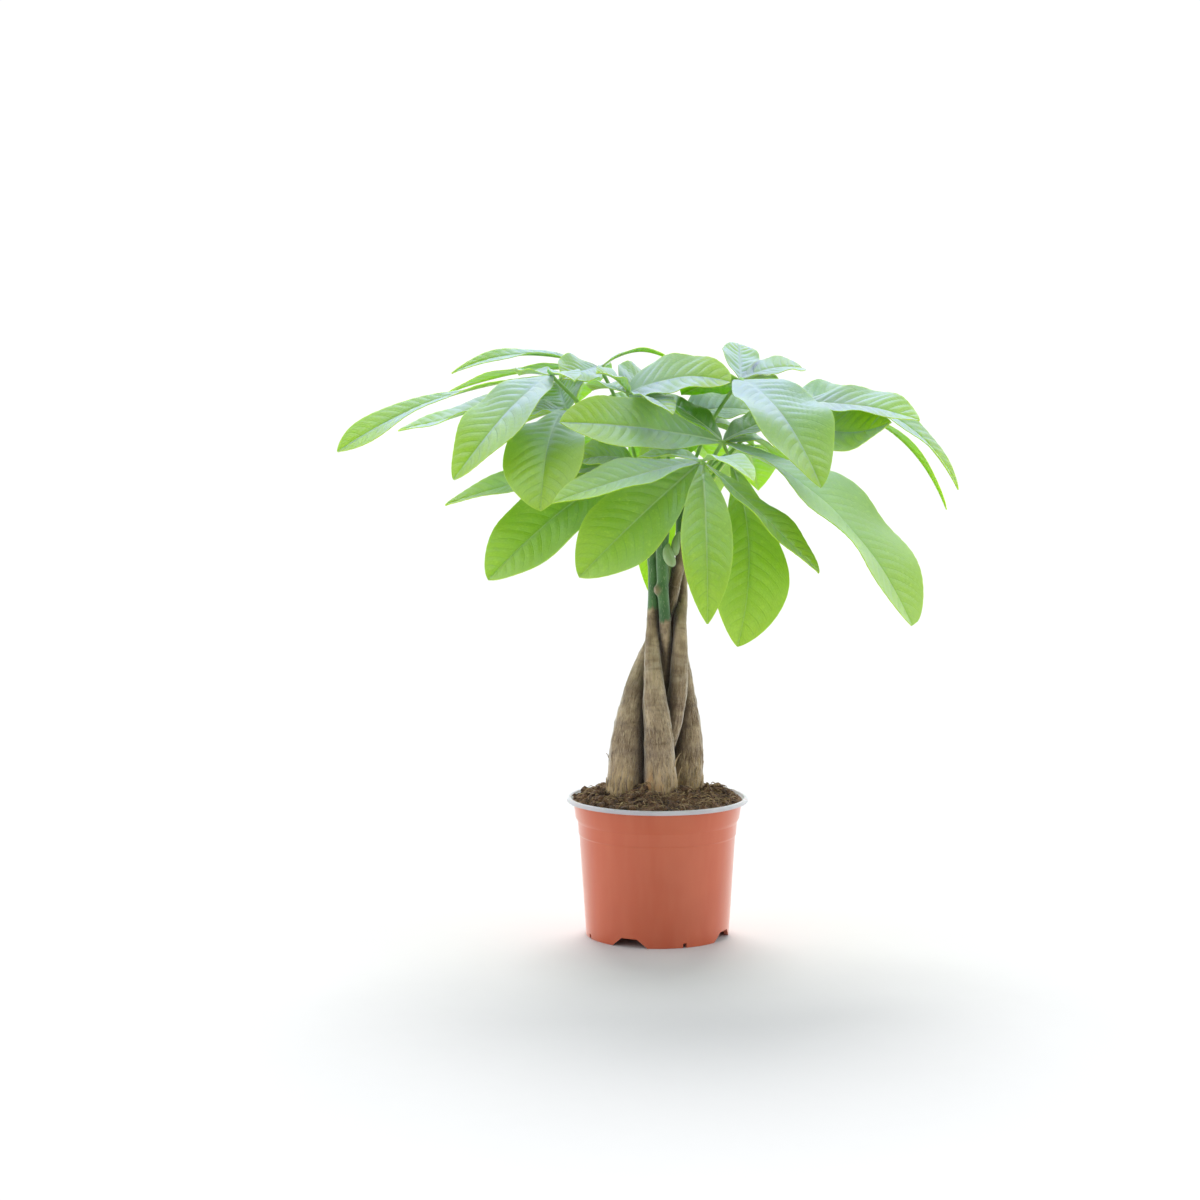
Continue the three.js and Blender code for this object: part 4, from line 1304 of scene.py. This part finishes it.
def painted_crown_shade(places):
    """Painted shade: how deep places lie inside the crown, where the leaves are painted a darker green,
    from 0 to 1.
    """
    off_middle = np.linalg.norm(places[:, :2] - CROWN_MIDDLE, axis=1)
    return smoothstep(*CROWN_MIDDLE_REACH, off_middle) * smoothstep(*CROWN_TOP, places[:, 2])


def vein_run(across, share, half, length, phase):
    """The side veins as a number that grows by one from each to the next, and arches with them."""
    wide = np.abs(across)
    count = float(np.clip(round(length / VEIN_SPACING), *VEIN_COUNTS))
    rise = half / length * count * (VEIN_RISE * wide + VEIN_ARCH * wide ** 2.5)
    drift = 0.16 * noise_at(np.stack([share * 9, np.sign(across) * 5, 0 * share], -1), 1.0, phase)
    return share * count - rise + drift


def blade_relief(across, share, reach, run, length, width, phase):
    """How high a leaflet's face lies over its flat middle: its fold, waves, lumps and puckers."""
    wide = np.abs(across)
    size = min(1.0, width / 40)
    ends = np.sin(math.pi * share)
    wave = BLADE_WAVE_SHARE * width * np.sin(2 * math.pi * BLADE_WAVES * share + phase + across)
    places = np.stack([reach, share * length, np.full_like(share, phase * 10)], -1)
    lumps = noise_at(places, 24.0, phase + 3) * 1.5 * size * (0.35 + 0.65 * wide)
    swell = np.abs(np.sin(math.pi * (run + VEIN_STAGGER * (across > 0)))) ** 0.75
    body = smoothstep(0.02, 0.22, wide) * (1 - 0.7 * smoothstep(0.6, 1.0, wide))
    body *= smoothstep(0.03, 0.2, share) * (1 - smoothstep(0.88, 1.0, share))
    groove = 0.35 * (1 - smoothstep(0.02, 0.3, share)) - GROOVE * smoothstep(0.12, 0.4, share)
    return (
        np.abs(reach) * math.sin(math.radians(BLADE_FOLD)) + (wave * wide + lumps) * ends
        + PUCKER * size * (swell - 0.5) * body + groove * bell(reach, 0.9))


def make_leaflet(name, flat_blade, hub, leaflet, phase, rng, finishes):
    tip, width, arch, sway, roll, widest, fullness, twist = complete(leaflet)
    blade = place_in_scene(name, flat_blade.data.copy())
    flat = vertices(blade)
    across = np.sign(flat[:, 0]) * np.abs(flat[:, 0]) ** MIDRIB_CROWDING
    share = (flat[:, 1] + 1) / 2
    start, bend, end, right = blade_spine(hub, tip, arch, sway)
    length = np.linalg.norm(end - start)
    root = BLADE_ROOT_WIDTH + (BLADE_TIP_WIDTH - BLADE_ROOT_WIDTH) * share
    half = 0.5 * np.maximum(root, width * blade_outline(share, widest, fullness))
    reach = half * across
    place, ahead = bezier(start, bend, end, share)
    flat_up = unit(np.cross(right, ahead))
    lean = np.radians(roll + twist * (share - 0.5))[:, None]
    up = flat_up * np.cos(lean) + np.cross(ahead, flat_up) * np.sin(lean)
    side = np.cross(ahead, up)
    run = vein_run(across, share, half, length, phase)
    height = blade_relief(across, share, reach, run, length, width, phase) + BLADE_THICKNESS / 2
    places = place + side * (reach * math.cos(math.radians(BLADE_FOLD)))[:, None] + up * height[:, None]
    move_vertices(blade, places * MM)
    map_uv(blade, "Blade", (across + 1) / 2, run / RUN_SCALE)
    paint_points(blade, "blade", np.stack([reach, share, np.full_like(share, rng.random())], -1))
    # Painted shade, kept for the materials: the deeper in the crown, the darker the blade.
    paint_points(blade, "inside", painted_crown_shade(places))
    for finish in finishes:
        blade.data.materials.append(finish)
    apply_modifier(
        blade, "SOLIDIFY", thickness=BLADE_THICKNESS * MM, offset=-1, material_offset=1,
        material_offset_rim=1)
    # The midrib stands out of the underside as a tapering rib.
    shell = vertices(blade)
    rib = RIB * (1 - 0.75 * share) * bell(reach, 1.0) * smoothstep(0.0, 0.06, share)
    shell[len(places):2 * len(places)] -= up * (rib * MM)[:, None]
    move_vertices(blade, shell)
    return dress(blade, 40)


def make_stalk(foot, hub, finish):
    t = np.linspace(0, 1, STALK_RINGS + 1)
    bend = foot + (hub - foot) * [STALK_LEAN, STALK_LEAN, STALK_CLIMB]
    centre, ahead = bezier(foot, bend, hub, t)
    side = unit(np.cross(ahead, [0.31, 0.95, 0.05]))
    radius = STALK_RADIUS + (STALK_FOOT_RADIUS - STALK_RADIUS) * (1 - t) ** STALK_FOOT_TAPER
    radius += 0.55 * smoothstep(0.94, 1.0, t)
    limb = Limb(centre, ahead, np.cross(side, ahead), side, radius, np.linalg.norm(hub - foot))
    stalk, centre, out, radius, angle, _ = roll_tube("stalk", limb, STALK_SIDES, STALK_RINGS)
    squash = 1 - 0.1 * np.maximum(0, np.cos(angle)) ** 2
    move_vertices(stalk, (centre + out * (radius * squash)[:, None]) * MM)
    weld(stalk)
    edit_all(stalk)
    bpy.ops.mesh.fill_holes(sides=0)
    bpy.ops.object.mode_set(mode="OBJECT")
    return dress(stalk, 50, finish)


def make_hub(hub, leaflets, finish):
    """The knuckle on which the leaflets meet: a ball drawn out towards each of them."""
    deselect_all()
    bpy.ops.mesh.primitive_ico_sphere_add(subdivisions=4, radius=1)
    knuckle = take_new("hub")
    ways = vertices(knuckle)
    radius = np.full(len(ways), HUB_RADIUS)
    for tip, _, arch, sway, *_ in map(complete, leaflets):
        start, bend, _, _ = blade_spine(hub, tip, arch, sway)
        pull = np.clip(ways @ unit(bend - start), 0, 1)
        radius = np.maximum(radius, HUB_RADIUS + 2.6 * pull ** 14)
    places = ways * radius[:, None] * [1, 1, 0.8]
    move_vertices(knuckle, (places + hub) * MM)
    return dress(knuckle, 60, finish)


def make_leaf(order, leaf, limbs, flat_blade, blade_finishes, stalk_finish):
    name, stem, way, hub, leaflets = leaf
    rng = random.Random(100 + order)
    hub = np.array(hub, dtype=float)
    foot = limbs[stem].centre[-1] + about_z(math.radians(way)) @ [FOOT_CIRCLE, 0, -0.6]
    parts = [
        make_leaflet(f"leaflet_{k}", flat_blade, hub, leaflet, order + 2 * k, rng, blade_finishes)
        for k, leaflet in enumerate(leaflets)]
    parts += [make_stalk(foot, hub, stalk_finish), make_hub(hub, leaflets, stalk_finish)]
    whole = join(f"foliage_{name}", parts)
    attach(whole, "root")
    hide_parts(f"leaf_{name}")


# ---- the studio
def make_camera():
    camera = bpy.data.cameras.new("camera")
    camera.lens = CAMERA_LENS
    camera.sensor_width = 36
    holder = place_in_scene("camera", camera)
    holder.location = CAMERA_PLACE
    holder.rotation_euler = (math.radians(CAMERA_TILT), 0, 0)
    bpy.context.scene.camera = holder


def make_floor():
    deselect_all()
    bpy.ops.mesh.primitive_plane_add(size=80)
    floor = take_new("floor")
    paper = Finish("Floor", {"Specular IOR Level": 0.0, "Roughness": 0.9})
    main, pale = ((tone, tone, tone, 1) for tone in (FLOOR_TONE, FLOOR_TONE + 0.01))
    colour = paper.blend(paper.cloud(paper.place, 60.0, 2.0), main, pale)
    paper.feed(paper.shader, {"Base Color": colour})
    floor.data.materials.append(paper.material)


def make_light():
    """A white studio: brighter at the sides and behind than in front, and one soft lamp above."""
    world = bpy.data.worlds.new("studio")
    bpy.context.scene.world = world
    world.use_nodes = True
    world.node_tree.nodes.clear()
    sky = Nodes(world.node_tree)
    east, north, up = sky.parts(sky.add("ShaderNodeTexCoord")["Generated"])
    ray = sky.add("ShaderNodeLightPath")
    behind = sky.spread(north, -0.9, 0.6, ROOM_FRONT, ROOM_BACK)
    aside = sky.times(sky.calc("POWER", east, 2.0), ROOM_SIDES)
    overhead = sky.spread(up, 0.05, 0.9, 1.0, ROOM_TOP)
    # A pale blue ceiling that shows only where a surface mirrors it.
    ceiling = sky.times(sky.spread(up, 0.45, 0.9), ray["Is Glossy Ray"])
    strength = sky.line(ceiling, CEILING, sky.times(sky.calc("ADD", behind, aside), overhead))
    colour = sky.blend(ceiling, ROOM_COLOUR, CEILING_COLOUR)
    lit = sky.add("ShaderNodeBackground", {"Color": colour, "Strength": strength})[0]
    shown = sky.add("ShaderNodeBackground", {"Color": (1, 1, 1, 1), "Strength": BACKDROP})[0]
    mixed = sky.add("ShaderNodeMixShader", {0: ray["Is Camera Ray"], 1: lit, 2: shown})[0]
    sky.add("ShaderNodeOutputWorld", {"Surface": mixed})
    sun = bpy.data.lights.new("overhead", "SUN")
    sun.energy = LAMP_STRENGTH
    sun.angle = math.radians(LAMP_SPREAD)
    sun.color = LAMP_COLOUR
    lamp = place_in_scene("overhead", sun)
    lamp.rotation_euler = (math.radians(-LAMP_LEAN), 0, 0)
    lamp.visible_glossy = False
    bpy.context.scene.view_settings.view_transform = "Standard"


def main():
    rng = random.Random(7)
    make_camera()
    make_light()
    make_floor()

    blotches = blotch_group()
    veins = vein_group()
    blades = (
        blade_material(
            "Leaf face", veins, blotches, LEAF_FACE, roughness=0.4, relief=-0.9, soft=0.8, sheen_strength=0.85),
        blade_material(
            "Leaf back", veins, blotches, LEAF_BACK, roughness=0.55, relief=0.8, soft=0.85, sheen_strength=0.3))
    stalk = stalk_material("Leaf stalk", blotches, *STALK)
    bark = bark_material(blotches)
    shard = peat_material("Bark shards", blotches, *SHARDS)
    bud = stalk_material("Bud", blotches, *BUD)
    peat = peat_material("Peat", blotches, *PEAT)
    crumb = peat_material("Peat crumbs", blotches, *CRUMBS)
    straw = peat_material("Peat fibres", blotches, *FIBRES)
    wall = plastic_material("Pot plastic", blotches, 0.32, *POT_WALL)
    lip = plastic_material("Pot lip", blotches, 0.45, *POT_LIP)

    pot = make_pot(wall, lip)
    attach(pot, "root")
    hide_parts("pot")

    bed = make_peat(peat)
    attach(bed, "root")
    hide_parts("soil")
    for piece in (make_crumbs(crumb, rng), make_fibres(straw, rng)):
        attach(piece, "root")

    limbs = {name: stem_limb(points) for name, points in STEMS.items()}
    for name in STEMS:
        make_stem(name, limbs, (bark, shard, bud), rng)
    flat_blade = flat_grid("blade", BLADE_COLUMNS, BLADE_ROWS)
    for order, leaf in enumerate(LEAVES):
        make_leaf(order, leaf, limbs, flat_blade, blades, stalk)
    discard(flat_blade)

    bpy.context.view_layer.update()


main()
